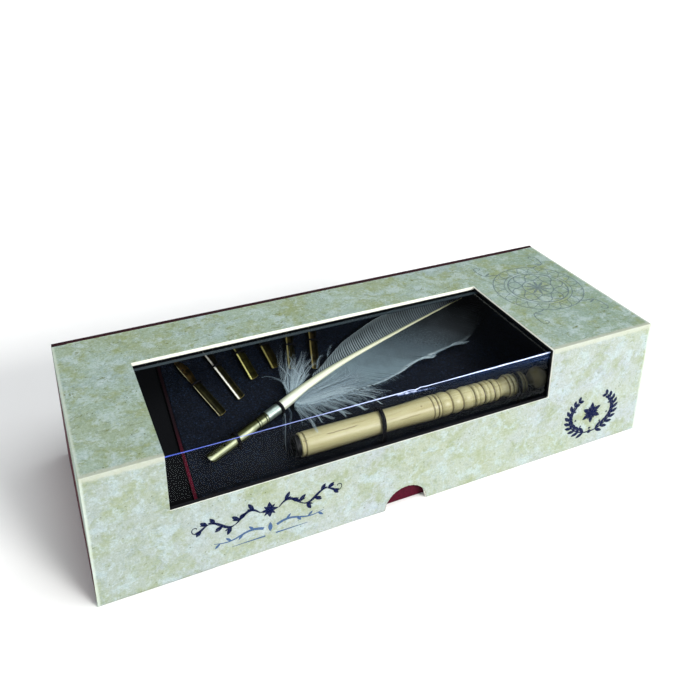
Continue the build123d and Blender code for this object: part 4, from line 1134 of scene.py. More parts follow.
def base_radius(m, d, n):
    side = near(abs(m.x), L / 2)
    if near(m.z, 0) and (side or near(m.y, BASE_FRONT) or near(m.y, 51.25)):
        return 0.55
    if side and abs(d.z) > 0.9 and (near(m.y, BASE_FRONT) or near(m.y, 51.25)):
        return 0.7
    if side:
        return 0.4
    if near(m.z, H - 0.4) or near(m.z, cut_z(BASE_FRONT), 0.1) or near(m.z, cut_z(BASE_FRONT + T), 0.1):
        return 0.35
    return 0.0


bevel(base, base_radius, 0.7, 4)
gridded(base, (10, 10, 10))
for m in (BURGUNDY, BLACK):
    base.data.materials.append(m.mat)
for f in base.data.polygons:
    c, n = f.center * 1000, f.normal
    inside = abs(c.x) < L / 2 - T - 0.0 and BASE_FRONT + T - 0.1 < c.y < BACK_IN + 0.1 and c.z > T - 0.1
    rim = n.z > 0.5 and c.z > T + 2                              # the sloping top of the walls is red paper too
    f.material_index = 1 if (inside and not rim) or (abs(n.x) > 0.7 and near(abs(c.x), L / 2 - T, 0.1)) else 0
soften(base)
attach(base, "base")
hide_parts("base_back_wall", "base_left_wall", "base_right_wall", "base_front_wall", "base_bottom_board")

# ---------------------------------------------------------------------------
# Hinge: one strip of book cloth from under the top panel, up its rear edge,
# across the groove, over the back wall and down its outside
# ---------------------------------------------------------------------------
run = [(38.0, 62.40), (47.9, 62.40), (48.36, 62.42), (48.53, 62.62), (48.55, 63.2), (48.55, 64.0), (48.56, 64.55),
       (48.62, 64.80), (48.72, 64.90), (48.82, 64.90), (48.94, 64.86), (49.1, 64.84), (49.6, 64.90), (50.4, 64.92),
       (51.05, 64.88), (51.32, 64.70), (51.38, 64.4), (51.38, 60.0), (51.38, 55.0), (51.38, 50.3)]
run = smooth_path(run, 96)
seg = np.concatenate([[0], np.cumsum(np.hypot(*np.diff(run, axis=0).T))])
NXC = 90
cv, cf, cuv = [], [], []
for j, (y, z) in enumerate(run):
    for i in range(NXC + 1):
        x = -L / 2 + 0.15 + (L - 0.3) * i / NXC
        if y < 48.4 and z < 63:                                  # the glued flap stays inside the gussets
            x *= (L / 2 - T - 0.6) / (L / 2)
        cv.append((x, y, z))
        cuv.append((x, seg[j]))
for j in range(len(run) - 1):
    for i in range(NXC):
        a = j * (NXC + 1) + i
        cf.append((a, a + NXC + 1, a + NXC + 2, a + 1))
cloth = mesh_obj("hinge_book_cloth_strip", cv, cf, [CLOTH])
uvl = cloth.data.uv_layers.new(name="cloth_mm")
for lp in cloth.data.loops:
    uvl.data[lp.index].uv = cuv[lp.vertex_index]
sol = cloth.modifiers.new("t", "SOLIDIFY")
sol.thickness = 0.16 * MM
sol.offset = 0.0
applied(cloth)
cloth.data.polygons.foreach_set("use_smooth", [True] * len(cloth.data.polygons))
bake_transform(cloth)
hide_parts("hinge_cloth", "hinge_flap")


# ---------------------------------------------------------------------------
# Platform cover, side panel: covered boards with rounded edges
# ---------------------------------------------------------------------------
def slab(name, x0, x1, s0, s1, z0, z1, mat, r):
    poly = [(world(0, s, z).y, world(0, s, z).z) for s, z in ((s0, z0), (s1, z0), (s1, z1), (s0, z1))]
    ob = prism_yz(poly, x0 - L / 2, x1 - L / 2)
    ob.name = ob.data.name = name
    lowest = max(z0, z1) - 0.05

    def rad(m, d, n):
        return r if n.dot(NRM) > 0.2 else 0.0

    bevel(ob, rad, r, 4)
    gridded(ob, (8, 8, 0))
    ob.data.materials.append(mat.mat)
    return soften(ob, 40)


cover = slab("navy_leatherette_cover", 47.4, 277.3, 7.5, 106.0, SURF - 1.0, SURF, NAVY, 0.7)
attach(cover, "base")
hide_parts("platform_cover")
panel = slab("black_side_panel", 2.7, 46.0, 7.5, 106.0, SURF - 3.0, SURF - 1.0, BLACK, 0.7)
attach(panel, "base")
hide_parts("side_panel")


def paint(node, mat):
    ob = NODES[node]
    ob.data.materials.clear()
    ob.data.materials.append(mat.mat)


for n in ("platform_board", "rib_left_end", "rib_divider_left", "rib_divider_right", "rib_centre", "rib_right_end"):
    paint(n, GREY)
paint("divider_strip", burgundy_strip())
for n in ("lid_top_lining", "lid_front_lining"):
    paint(n, BLACK)
paint("quill_ferrule", SILVER)
paint("holder_handle", WOOD)
paint("nib_socket", PLASTIC)

# ---------------------------------------------------------------------------
# Elastic loops and ties
# ---------------------------------------------------------------------------
NIBS = [("nib_1", 69.2, 57.1, 21.0, 43.0, 21.2, 2.30), ("nib_2", 80.2, 63.3, 16.7, 37.0, 21.8, 2.20),
        ("nib_3", 89.7, 72.4, 8.5, 29.5, 16.5, 2.55), ("nib_4", 102.2, 75.7, 6.0, 26.0, 14.2, 2.70),
        ("nib_5", 110.0, 72.8, -15.0, 28.5, 13.8, 2.35), ("nib_6", 121.7, 69.4, -15.5, 31.5, 17.0, 2.35)]


def direction(dx, ds):
    n = math.hypot(dx, ds)
    return Vector((dx / n, ds / n * CT, ds / n * ST))


def band(pile, origin, lateral, axis, rx, ry, foot, w, t, lean=0.0, square=1.0, splay=0.0):
    """A flat elastic over something: half an ellipse rx by ry, with feet that go down by foot into the cover."""
    pts = []
    for k in range(5):
        pts.append((rx, -foot * (1 - k / 5)))
    for k in range(33):
        a = math.pi * k / 32
        pts.append((rx * math.copysign(abs(math.cos(a)) ** square, math.cos(a)), ry * math.sin(a) ** square))
    for k in range(1, 6):
        pts.append((-rx - splay * (k / 5) ** 1.3, -foot * k / 5))
    path = [origin + lateral * a + NRM * b + axis * (lean * a) for a, b in pts]
    n, sides = len(path), 12
    vs, al, ro = [], [], []
    run_len = 0.0
    for i, p in enumerate(path):
        tan = (path[min(i + 1, n - 1)] - path[max(i - 1, 0)]).normalized()
        wide = (axis - tan * axis.dot(tan)).normalized()
        thick = wide.cross(tan).normalized()
        if i:
            run_len += (p - path[i - 1]).length
        for k in range(sides):
            a = 2 * math.pi * k / sides
            ca, sa = math.cos(a), math.sin(a)
            q = math.copysign(abs(ca) ** 0.6, ca) * w / 2, math.copysign(abs(sa) ** 0.8, sa) * t / 2
            vs.append(p + wide * q[0] + thick * q[1])
            al.append(run_len)
            ro.append(k / sides)
    fs = [(i * sides + k, i * sides + (k + 1) % sides, (i + 1) * sides + (k + 1) % sides, (i + 1) * sides + k)
          for i in range(n - 1) for k in range(sides)]
    fs.append(tuple(range(sides - 1, -1, -1)))
    fs.append(tuple((n - 1) * sides + k for k in range(sides)))
    pile.add(vs, fs, along=al, round=ro)


# painted highlight line of each nib (place, half width, colour), then body and blade colours and detail
PAINTED_GLINTS = {"nib_1": ((-0.80, 0.20, (228, 224, 176)), (46, 44, 18), (84, 66, 30), 0.95),
          "nib_2": ((-0.46, 0.56, (255, 255, 240)), (54, 50, 18), (44, 38, 20), 0.65),
          "nib_3": ((-0.50, 0.42, (224, 222, 140)), (78, 75, 30), (64, 58, 26), 0.5),
          "nib_4": ((-0.48, 0.40, (160, 154, 92)), (72, 65, 26), (58, 50, 24), 0.4),
          "nib_5": ((-0.56, 0.34, (132, 126, 78)), (64, 60, 30), (64, 58, 30), 0.8),
          "nib_6": ((-0.56, 0.34, (126, 116, 70)), (64, 57, 28), (68, 56, 28), 0.8)}
for name, nx, ns, lean, n_len, waist, arch in NIBS:
    u = direction(-math.sin(math.radians(lean)), math.cos(math.radians(lean)))
    v = direction(math.cos(math.radians(lean)), math.sin(math.radians(lean)))
    paint(name, nib_brass(name + "_aged_brass", world(nx, ns, SURF), u, v, arch, waist, *PAINTED_GLINTS[name]))

rnd = random.Random(11)
pile = Pile()
for name, nx, ns, lean, n_len, waist, arch in NIBS:
    u = direction(-math.sin(math.radians(lean)), math.cos(math.radians(lean)))
    v = direction(math.cos(math.radians(lean)), math.sin(math.radians(lean)))
    band(pile, world(nx, ns, SURF) + u * waist, v, u, arch + 0.60, arch * 0.76 + 0.66, 0.5, 0.95, 0.42,
         lean=rnd.uniform(-0.08, 0.08), square=0.42)
loops = pile.make("nib_elastic_loops", [ELASTIC])
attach(loops, "base")
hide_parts("nib_loops")

PEN0, PEN_DEG, PEN_Z = (56.0, 35.2), 22.4, 1.75
pu = direction(math.cos(math.radians(PEN_DEG)), math.sin(math.radians(PEN_DEG)))
pv = direction(-math.sin(math.radians(PEN_DEG)), math.cos(math.radians(PEN_DEG)))


def pen_at(d):
    return (PEN0[0] + d * math.cos(math.radians(PEN_DEG)), PEN0[1] + d * math.sin(math.radians(PEN_DEG)))


BRASS_PEN = pen_brass(world(*PEN0, PEN_Z - 0.3), pu, pv)
paint("nib_collar", BRASS_PEN)

pile = Pile()
band(pile, world(*pen_at(16.5), PEN_Z), pv, pu, 3.12, 2.72, PEN_Z - SURF + 0.5, 1.7, 0.5, lean=0.10, splay=1.6)
band(pile, world(*pen_at(42.9), PEN_Z), pv, pu, 3.2, 3.15, PEN_Z - SURF + 0.5, 1.7, 0.5, lean=-0.06, splay=1.8)
band(pile, world(138.6, 28.0, 5.15), direction(0, 1), Vector((1, 0, 0)), 6.5, 6.45, 5.15 - SURF + 0.5, 2.2, 0.55, lean=0.10, splay=3.0)
band(pile, world(216.3, 28.0, 5.15), direction(0, 1), Vector((1, 0, 0)), 6.5, 6.45, 5.15 - SURF + 0.5, 2.2, 0.55, lean=0.05, splay=2.2)
ties = pile.make("pen_elastic_ties", [ELASTIC])
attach(ties, "base")
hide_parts("pen_ties")

# ---------------------------------------------------------------------------
# Pen nib: a strip formed round into a tongue, with its slit and vent hole
# cut right through; narrower where it enters the collar
# ---------------------------------------------------------------------------
def ease(x, x0, x1):
    t = min(1.0, max(0.0, (x - x0) / (x1 - x0)))
    return t * t * (3 - 2 * t)


NIB_R, NIB_SEAT, NIB_WALL, NIB_ARC, NIB_TAPER = 2.74, 2.24, 0.32, math.radians(120), 6.8
VENT_D, VENT_R = 9.5, 0.6


def strip_point(d, arc, wall):
    """arc is the distance round the outside from the middle line, mm."""
    r = NIB_R + (NIB_SEAT - NIB_R) * ease(d, 24.6, 28.4)
    share = math.sqrt(max(0.0, 1.0 - ((NIB_TAPER - d) / NIB_TAPER) ** 2)) if d < NIB_TAPER else 1.0
    ang = arc * share / NIB_R
    drop = -0.52 + 0.44 * ease(d, 22.0, 28.0)
    if d < NIB_TAPER:
        drop -= 0.55 * ((NIB_TAPER - d) / NIB_TAPER) ** 2.4
    c = world(*pen_at(d), PEN_Z + drop)
    return c + (pv * math.sin(ang) + NRM * math.cos(ang)) * (r - wall)


rows = [0.02, 0.07, 0.15, 0.27, 0.42, 0.6, 0.85, 1.15, 1.5, 1.9, 2.3, 2.8, 3.3, 3.8, 4.4, 5.0, 5.6, 6.2, 6.8, 7.4, 8.0, 8.4]
rows += [8.6 + 0.12 * i for i in range(16)] + [10.7, 11.2, 12.0, 13.0, 14.5, 16.0, 17.5, 19.0, 20.5, 22.0, 23.2, 24.2]
rows += [24.8, 25.3, 25.8, 26.3, 26.8, 27.3, 27.8, 28.3, 28.8, 30.0, 31.6]
half = [0.045, 0.14, 0.26, 0.38, 0.50, 0.62, 0.78, 1.0, 1.25, 1.55, 1.9, 2.25, 2.6, 2.95, 3.3, 3.65, 4.0, 4.35, 4.7, 5.0,
        NIB_ARC * NIB_R]
cols = [-x for x in reversed(half)] + half
slit = len(half) - 1
grid = {(i, j): [rows[i], cols[j]] for i in range(len(rows)) for j in range(len(cols))}
kept = set()
for i in range(len(rows) - 1):
    for j in range(len(cols) - 1):
        dm, am = (rows[i] + rows[i + 1]) / 2, (cols[j] + cols[j + 1]) / 2
        if math.hypot(dm - VENT_D, am) < VENT_R or (j == slit and dm < VENT_D):
            continue
        kept.add((i, j))
edge = {}
for i, j in kept:
    for p, q, other in (((i, j), (i, j + 1), (i - 1, j)), ((i, j + 1), (i + 1, j + 1), (i, j + 1)),
                        ((i + 1, j + 1), (i + 1, j), (i + 1, j)), ((i + 1, j), (i, j), (i, j - 1))):
        if other not in kept:
            edge[(p, q)] = True
for p in {k for e in edge for k in e}:                       # round off the vent hole
    d, a = grid[p]
    far = math.hypot(d - VENT_D, a)
    if 1e-6 < far < VENT_R + 0.16 and abs(a) > 0.06:
        grid[p] = [VENT_D + (d - VENT_D) * VENT_R / far, a * VENT_R / far]
used = sorted({k for i, j in kept for k in ((i, j), (i + 1, j), (i, j + 1), (i + 1, j + 1))})
at = {k: n for n, k in enumerate(used)}
vs = [strip_point(*grid[k], 0.0) for k in used] + [strip_point(*grid[k], NIB_WALL) for k in used]
m_ = len(used)
fs = []
for i, j in sorted(kept):
    a, b, c, d = at[(i, j)], at[(i, j + 1)], at[(i + 1, j + 1)], at[(i + 1, j)]
    fs += [(a, d, c, b), (a + m_, b + m_, c + m_, d + m_)]
for p, q in edge:
    fs.append((at[p], at[q], at[q] + m_, at[p] + m_))
pile = Pile()
pile.add(vs, fs)
strip_ob = pile.make("pen_nib_formed_strip", [BRASS_PEN])
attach(strip_ob, "feather_pen")
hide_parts("pen_nib")

# ---------------------------------------------------------------------------
# Feather: shaft, vanes of separate barbs, and down at its base
# (x, s, z, radius in the platform frame)
# ---------------------------------------------------------------------------
SHAFT = [
    (*pen_at(36.7), PEN_Z, 2.28), (*pen_at(43.8), PEN_Z, 2.28), (*pen_at(45.0), PEN_Z + 0.05, 2.55),
    (104.0, 55.25, 1.85, 2.50), (110.0, 57.9, 1.92, 2.32), (120.0, 61.9, 2.05, 2.00), (130.0, 65.5, 2.17, 1.66),
    (140.0, 68.7, 2.28, 1.35), (152.0, 72.1, 2.40, 1.12), (166.0, 75.9, 2.52, 0.92), (180.0, 79.7, 2.62, 0.72),
    (194.0, 83.3, 2.70, 0.55), (207.0, 86.6, 2.76, 0.42), (219.0, 89.4, 2.80, 0.22)]
sp = smooth_path(SHAFT, 220)
sp[:, 3] = np.maximum(sp[:, 3], 0.16)
path = [world(*q[:3]) for q in sp]
sides = 22
vs, fs = [], []
al, ro = [], []
for i, p in enumerate(path):
    t = (path[min(i + 1, len(path) - 1)] - path[max(i - 1, 0)]).normalized()
    side = t.cross(NRM).normalized()
    top = side.cross(t).normalized()
    r = sp[i][3]
    far = i / (len(path) - 1)
    for k in range(sides):
        a = 2 * math.pi * k / sides
        ca, sa = math.cos(a), math.sin(a)
        q = 1.0
        if far > 0.22 and sa < -0.3:                             # the groove under the shaft
            q = 1.0 - 0.28 * min(1.0, (far - 0.22) * 8) * math.exp(-(ca / 0.35) ** 2)
        boxy = 1.0 - 0.06 * math.cos(4 * a) * min(1.0, far * 6)   # squarish beyond the barrel
        vs.append(p + (side * ca + top * sa * (1.0 - 0.12 * far)) * r * q * boxy)
        al.append(far)
        ro.append(ca)
n = len(path)
fs = [(i * sides + k, i * sides + (k + 1) % sides, (i + 1) * sides + (k + 1) % sides, (i + 1) * sides + k)
      for i in range(n - 1) for k in range(sides)]
fs.append(tuple(range(sides - 1, -1, -1)))
fs.append(tuple((n - 1) * sides + k for k in range(sides)))
pile = Pile()
pile.add(vs, fs, along=al, round=ro)
shaft_ob = pile.make("quill_shaft_smooth", [QUILL])
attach(shaft_ob, "feather_pen")
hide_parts("quill_shaft")


def shaft_at(x):
    """(s, z, radius, unit tangent in the platform plane) of the shaft at x."""
    i = int(np.searchsorted(sp[:, 0], x))
    i = min(max(i, 1), len(sp) - 1)
    a, b = sp[i - 1], sp[i]
    t = (x - a[0]) / max(1e-6, b[0] - a[0])
    q = a + (b - a) * min(1.0, max(0.0, t))
    d = b[:2] - a[:2]
    d = d / np.linalg.norm(d)
    return q[1], q[2], q[3], d


def outline_at(pts, x):
    for (x0, s0), (x1, s1) in zip(pts, pts[1:]):
        if x0 <= x <= x1:
            return s0 + (s1 - s0) * (x - x0) / (x1 - x0)
    return pts[0][1] if x < pts[0][0] else pts[-1][1]


def interp(table, x):
    return float(np.interp(x, [a for a, b in table], [b for a, b in table]))


def ribbon(pile, pts, widths, ridge_h, tint, lng, curl=0.0):
    """One barb: a thin strip with a raised middle, lying nearly flat on the platform. pts are platform (x, s, z)."""
    w3 = [world(*p) for p in pts]
    n = len(w3)
    vs, out, rid = [], [], []
    for i, p in enumerate(w3):
        t = (w3[min(i + 1, n - 1)] - w3[max(i - 1, 0)]).normalized()
        side = t.cross(NRM).normalized()
        w = widths[i] / 2
        vs += [p - side * w - NRM * ridge_h, p - side * w * 0.25 + NRM * ridge_h * 0.8, p + side * w - NRM * ridge_h * 0.5]
        out += [i / (n - 1)] * 3
        rid += [0.0, 1.0, 0.25]
    fs = []
    for i in range(n - 1):
        a = i * 3
        fs += [(a, a + 1, a + 4, a + 3), (a + 1, a + 2, a + 5, a + 4)]
    pile.add(vs, fs, out=out, ridge=rid, tint=[tint] * len(vs), lng=[lng] * len(vs))


UPPER = [(121.0, 66.0), (124.0, 68.2), (130.0, 72.6), (140.0, 79.5), (150.0, 84.0), (160.0, 88.0), (170.0, 91.2),
         (182.0, 94.2), (195.0, 96.4), (208.0, 96.8), (219.0, 94.6), (226.5, 91.2)]
LOWER = [(106.0, 51.6), (112.0, 50.2), (118.0, 50.0), (128.0, 50.2), (140.0, 50.3), (152.0, 51.2), (164.0, 54.0),
         (172.0, 57.2), (177.5, 58.4), (181.0, 57.6), (182.6, 57.0), (184.0, 58.9), (192.0, 60.4), (199.5, 61.4),
         (203.0, 60.6), (204.6, 61.6), (212.0, 64.6), (220.0, 70.5), (226.0, 79.0), (228.5, 86.0)]
rnd = random.Random(5)
pile = Pile()
x, i = 118.5, 0
while x < 218.6:
    s, z, r, d = shaft_at(x)
    f = (x - 118.5) / 100.1
    perp = np.array([-d[1], d[0]])
    root = np.array([x, s]) + perp * (r * 0.55)
    # tip on the outline: straight out, then swept to the feather's tip
    reach = interp([(118.5, 123.2), (130, 131.5), (150, 150.5), (175, 177.0), (200, 206.0), (218.6, 226.5)], x)
    tip = np.array([reach, outline_at(UPPER, reach)])
    if tip[1] - root[1] < 0.4:
        tip[1] = root[1] + 0.4
    ln = np.linalg.norm(tip - root)
    split = noise.noise(Vector((x * 0.22, 3.3, 0.0)))
    tip = root + (tip - root) * (1.0 + 0.012 * rnd.uniform(-1, 1) - (0.05 * max(0.0, split - 0.25) * 4))
    c1 = root + perp * ln * 0.45 + d * ln * (-0.02)
    c2 = tip - d * ln * (0.10 + 0.18 * f) - perp * ln * 0.16
    pts, wd = [], []
    K = 15
    zj = rnd.uniform(-0.03, 0.03)
    for k in range(K):
        t = k / (K - 1)
        q = root * (1 - t) ** 3 + 3 * c1 * t * (1 - t) ** 2 + 3 * c2 * t * t * (1 - t) + tip * t ** 3
        arch = 0.55 * math.sin(math.pi * min(1.0, t * 1.1)) - 0.75 * t * t
        pts.append((q[0], q[1], z + 0.10 + arch * min(1.0, ln / 12) + zj + 0.10 * noise.noise(Vector((q[0] * .15, q[1] * .15, 2)))))
        wd.append(0.86 * (1 - 0.35 * t ** 3) if t < 0.97 else 0.3)
    # every other barb carries painted shade in the gap beside it
    gap_shade_pair = 0.92 if i % 2 else 0.0
    ribbon(pile, pts, wd, 0.11, min(1.0, gap_shade_pair * (1.0 - 0.3 * f) + 0.10 * rnd.random()), f * 0.75)
    x += 0.70 * d[0]
    i += 1
upper = pile.make("feather_upper_vane_barbs", [UPPER_BARB])
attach(upper, "feather_pen")
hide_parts("feather_upper_vane")

pile = Pile()
x, i = 103.5, 0
TO = [(103.5, 108.0), (112, 124.0), (122, 142.0), (134, 161.0), (148, 178.5), (164, 195.0), (180, 208.5), (196, 218.5),
      (210, 225.0), (218.7, 228.4)]
while x < 218.6:
    s, z, r, d = shaft_at(x)
    f = (x - 103.5) / 115.1
    perp = np.array([d[1], -d[0]])
    root = np.array([x, s]) + perp * (r * 0.55)
    reach = interp(TO, x) + 0.35 * rnd.uniform(-1, 1)
    tip = np.array([reach, outline_at(LOWER, reach)])
    ln = np.linalg.norm(tip - root)
    frayed = max(0.0, 1.0 - f / 0.34)
    tip = tip + np.array([1.0, -0.25]) * frayed * rnd.uniform(-1.5, 3.5)
    c1 = root + perp * ln * 0.26 + d * ln * 0.22
    c2 = root + (tip - root) * 0.62 + perp * ln * 0.10
    K = 17
    pts, wd = [], []
    zj = rnd.uniform(-0.03, 0.03) + frayed * rnd.uniform(-0.2, 0.35)
    for k in range(K):
        t = k / (K - 1)
        q = root * (1 - t) ** 3 + 3 * c1 * t * (1 - t) ** 2 + 3 * c2 * t * t * (1 - t) + tip * t ** 3
        arch = 0.35 * math.sin(math.pi * t) - 0.9 * t * t
        flick = math.exp(-((q[0] - 182.0) / 2.4) ** 2) + 0.8 * math.exp(-((q[0] - 203.0) / 3.0) ** 2)
        arch += 0.9 * flick * max(0.0, t - 0.8) * 5
        pts.append((q[0], q[1], z + 0.02 + arch * min(1.0, ln / 12) + zj + 0.14 * noise.noise(Vector((q[0] * .12, q[1] * .12, 7)))))
        wd.append(0.86 * (1 - 0.30 * t ** 3) * (1 - 0.55 * frayed * t) if t < 0.97 else 0.22)
    ribbon(pile, pts, wd, 0.05, 0.22 * rnd.random() + 0.10 * (i % 2), max(0.0, f * 1.05 - 0.02))
    x += 0.60 * d[0]
    i += 1
lower = pile.make("feather_lower_vane_barbs", [LOWER_BARB])
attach(lower, "feather_pen")
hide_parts("feather_lower_vane")

# down: soft hairs with short side hairs
rnd = random.Random(23)
pile = Pile()


def hair(pts, r0, tint, fuzz=0.5, fuzz_len=1.2, faint=0.0):
    """One down hair along platform points, three-sided, with short side hairs."""
    p3 = [world(*p) for p in pts]
    n = len(p3)
    vs, fs = [], []
    for i, p in enumerate(p3):
        t = (p3[min(i + 1, n - 1)] - p3[max(i - 1, 0)]).normalized()
        side = t.cross(NRM).normalized()
        r = r0 * (1.0 - 0.75 * (i / (n - 1)) ** 1.5)
        vs += [p + side * r, p - side * r * 0.5 + NRM * r * 0.87, p - side * r * 0.5 - NRM * r * 0.87]
    for i in range(n - 1):
        for k in range(3):
            a, b = i * 3 + k, i * 3 + (k + 1) % 3
            fs.append((a, b, b + 3, a + 3))
    if fuzz > 0:
        step = 1
        for i in range(2, n - 1, step):
            for sgn in (-1, 1):
                if rnd.random() > fuzz:
                    continue
                p = p3[i]
                t = (p3[i + 1] - p3[i - 1]).normalized()
                side = t.cross(NRM).normalized() * sgn
                dirn = (t * rnd.uniform(0.5, 1.1) + side * rnd.uniform(0.5, 1.0) + NRM * rnd.uniform(-0.25, 0.45)).normalized()
                ln = fuzz_len * rnd.uniform(0.5, 1.2) * (1 - 0.4 * i / n)
                base = len(vs)
                w = t * 0.028
                vs += [p - w, p + w, p + dirn * ln * 0.6 + t * 0.1 + w * 0.8, p + dirn * ln * 0.6 + t * 0.1 - w * 0.8, p + dirn * ln + t * 0.35]
                fs += [(base, base + 1, base + 2, base + 3), (base + 3, base + 2, base + 4)]
    pile.add(vs, fs, tint=tint, faint=faint)


def plume(guide, hairs=9, width=0.9, tint=(0.0, 0.5), r0=0.06, fuzz=0.45, fuzz_len=1.3, curl=0.25, faint=0.0, n=16,
          cut_range=(0.78, 1.0), rise=0.25):
    """Hairs that spread from one root and draw together again at the tip, like a damp brush."""
    g = smooth_path(guide, 40)
    d = np.gradient(g, axis=0)
    d /= np.linalg.norm(d[:, :2], axis=1)[:, None] + 1e-9
    for _ in range(hairs):
        off = rnd.gauss(0, 0.5) * width
        ph = rnd.uniform(0, 6.28)
        lim = rnd.uniform(*cut_range)
        zz = abs(rnd.gauss(0, rise))
        wob = curl * rnd.uniform(0.3, 1.1)
        pts = []
        for k in range(n):
            t = k / (n - 1) * lim
            a = int(t * 39)
            b = min(39, a + 1)
            q = g[a] + (g[b] - g[a]) * (t * 39 - a)
            dd = d[a]
            env = (1.0 - t ** 2.5) * (0.25 + 0.75 * min(1.0, 3.0 * t))
            o = off * env + wob * t * math.sin(7.0 * t + ph)
            pts.append((q[0] - dd[1] * o, q[1] + dd[0] * o, q[2] + zz * math.sin(math.pi * min(1.0, t * 1.1))))
        hair(pts, r0 * rnd.uniform(0.7, 1.25), min(1.0, rnd.uniform(*tint) + 0.35 * abs(off) / width), fuzz, fuzz_len, faint)


def spray(a, b, count, jit=(0.6, 1.2), **kw):
    """Plumes between two guide lines of the same number of points, with jittered ends."""
    for i in range(count):
        f = (i + rnd.uniform(0.2, 0.8)) / count
        gx, gy, gs = rnd.gauss(0, jit[1]), rnd.gauss(0, jit[1]), rnd.gauss(0, jit[0])
        line = []
        n = len(a)
        for k, (p, q) in enumerate(zip(a, b)):
            t = k / (n - 1)
            line.append((p[0] + (q[0] - p[0]) * f + gx * t + gs * (1 - t) * 0.4, p[1] + (q[1] - p[1]) * f + gy * t,
                         p[2] + (q[2] - p[2]) * f))
        plume(line, **kw)


# thin fog of fine hairs under everything
for _ in range(760):
    x0 = rnd.uniform(103.5, 136.0)
    s_, z_, r_, d_ = shaft_at(x0)
    low = 51.4 + 0.085 * (x0 - 104.0)
    s0 = rnd.uniform(low - 2.0, min(s_ - r_, low + 5.0))
    ln = rnd.uniform(4.0, 12.0)
    an = math.radians(rnd.gauss(-14.0 if s0 < low + 1 else 8.0, 20.0))
    be = rnd.uniform(-0.9, 0.9)
    pts = []
    for k in range(9):
        t = k / 8
        a_ = an + be * t
        pts.append((x0 + ln * t * math.cos(a_), s0 + ln * t * math.sin(a_), 1.6 + rnd.uniform(0, 0.02) + 0.8 * t + 0.02 * (x0 - 104)))
    hair(pts, 0.085, rnd.uniform(0.25, 1.0), 0.15, 1.0, 0.85)
for _ in range(150):
    x0 = rnd.uniform(103.0, 109.0)
    s0 = 57.8 + 0.42 * (x0 - 103.0) + rnd.uniform(0, 5.0)
    ln = rnd.uniform(4.0, 10.0)
    an = math.radians(rnd.gauss(62.0, 13.0))
    pts = [(x0 + ln * k / 8 * math.cos(an + 0.3 * k / 8), s0 + ln * k / 8 * math.sin(an + 0.3 * k / 8), 2.7 + 0.7 * k / 8) for k in range(9)]
    hair(pts, 0.075, rnd.uniform(0.3, 1.0), 0.2, 1.0, 0.80)

# upper tuft, over the fifth and sixth nibs
spray([(102.2, 57.4, 2.6), (103.0, 63.5, 3.3), (104.8, 72.0, 3.6), (108.5, 83.0, 3.0)],
      [(106.5, 59.1, 2.6), (110.5, 64.2, 3.4), (116.5, 72.5, 3.6), (121.5, 81.0, 2.8)], 15,
      hairs=3, width=0.55, tint=(0.0, 0.5), r0=0.050, fuzz=0.16, fuzz_len=0.9, curl=0.7, cut_range=(0.55, 1.0), jit=(0.6, 1.5))
spray([(103.2, 58.0, 2.6), (106.0, 63.5, 3.4), (110.0, 71.0, 3.6), (117.5, 79.5, 2.8)],
      [(109.0, 60.2, 2.6), (112.5, 63.4, 3.4), (117.5, 68.0, 3.4), (122.5, 70.8, 2.7)], 11,
      hairs=4, width=0.7, tint=(0.0, 0.45), r0=0.052, fuzz=0.20, fuzz_len=1.0, curl=0.6, cut_range=(0.5, 1.0), jit=(0.5, 1.4))
spray([(103.6, 57.8, 2.4), (105.0, 61.0, 2.9), (107.2, 65.0, 3.1), (110.0, 69.0, 3.0)],
      [(108.5, 59.8, 2.4), (111.0, 62.0, 2.9), (114.6, 64.6, 3.1), (118.4, 67.2, 2.8)], 9,
      hairs=6, width=0.9, tint=(0.1, 0.6), r0=0.050, fuzz=0.3, fuzz_len=1.0, curl=0.4)
spray([(101.8, 57.2, 2.4), (102.2, 65.0, 3.1), (103.4, 75.0, 3.1), (106.5, 87.0, 2.0)],
      [(102.6, 57.4, 2.4), (104.2, 65.0, 3.1), (107.0, 75.0, 3.1), (112.0, 88.0, 2.0)], 7,
      hairs=2, width=0.4, tint=(0.1, 0.6), r0=0.042, fuzz=0.12, fuzz_len=0.8, curl=0.9, jit=(0.5, 1.6))
for x0, s0, x1, s1, bend in ((103.0, 57.6, 104.6, 78.0, -2.6), (104.0, 58.0, 110.0, 80.0, 2.8), (105.0, 58.4, 112.0, 74.5, -2.2),
                             (106.2, 58.9, 117.0, 79.0, 2.4), (107.4, 59.4, 118.6, 73.0, -2.0), (108.4, 59.8, 122.6, 76.0, 2.2)):
    dx, ds = x1 - x0, s1 - s0
    plume([(x0, s0, 2.6), (x0 + dx * 0.22 + bend * 0.5, s0 + ds * 0.25, 3.4), (x0 + dx * 0.45 - bend * 0.35, s0 + ds * 0.5, 3.9),
           (x0 + dx * 0.75 + bend * 0.4, s0 + ds * 0.78, 3.8), (x1 - bend * 0.3, s1, 3.2)], hairs=5, width=0.8, tint=(0.0, 0.25),
          r0=0.064, fuzz=0.3, fuzz_len=1.0, curl=0.9, cut_range=(0.6, 1.0), rise=0.3)
plume([(101.5, 57.2, 2.2), (102.2, 62.5, 2.8), (99.5, 67, 2.6), (95.5, 70.3, 1.6), (91.5, 71.6, 0.4)], hairs=4, width=1.4,
      r0=0.040, tint=(0.3, 0.9), fuzz=0.1)
plume([(101.8, 57.2, 2.2), (102.6, 61.5, 2.8), (101.0, 66, 2.6), (98.5, 68.3, 1.6), (96.5, 68.6, 0.8)], hairs=4, width=1.0,
      r0=0.040, tint=(0.3, 0.9), fuzz=0.1)
plume([(121, 67, 2.8), (124, 72, 3.2), (128, 74.5, 2.8)], hairs=6, width=1.2, r0=0.042, tint=(0.2, 0.8), fuzz=0.2)
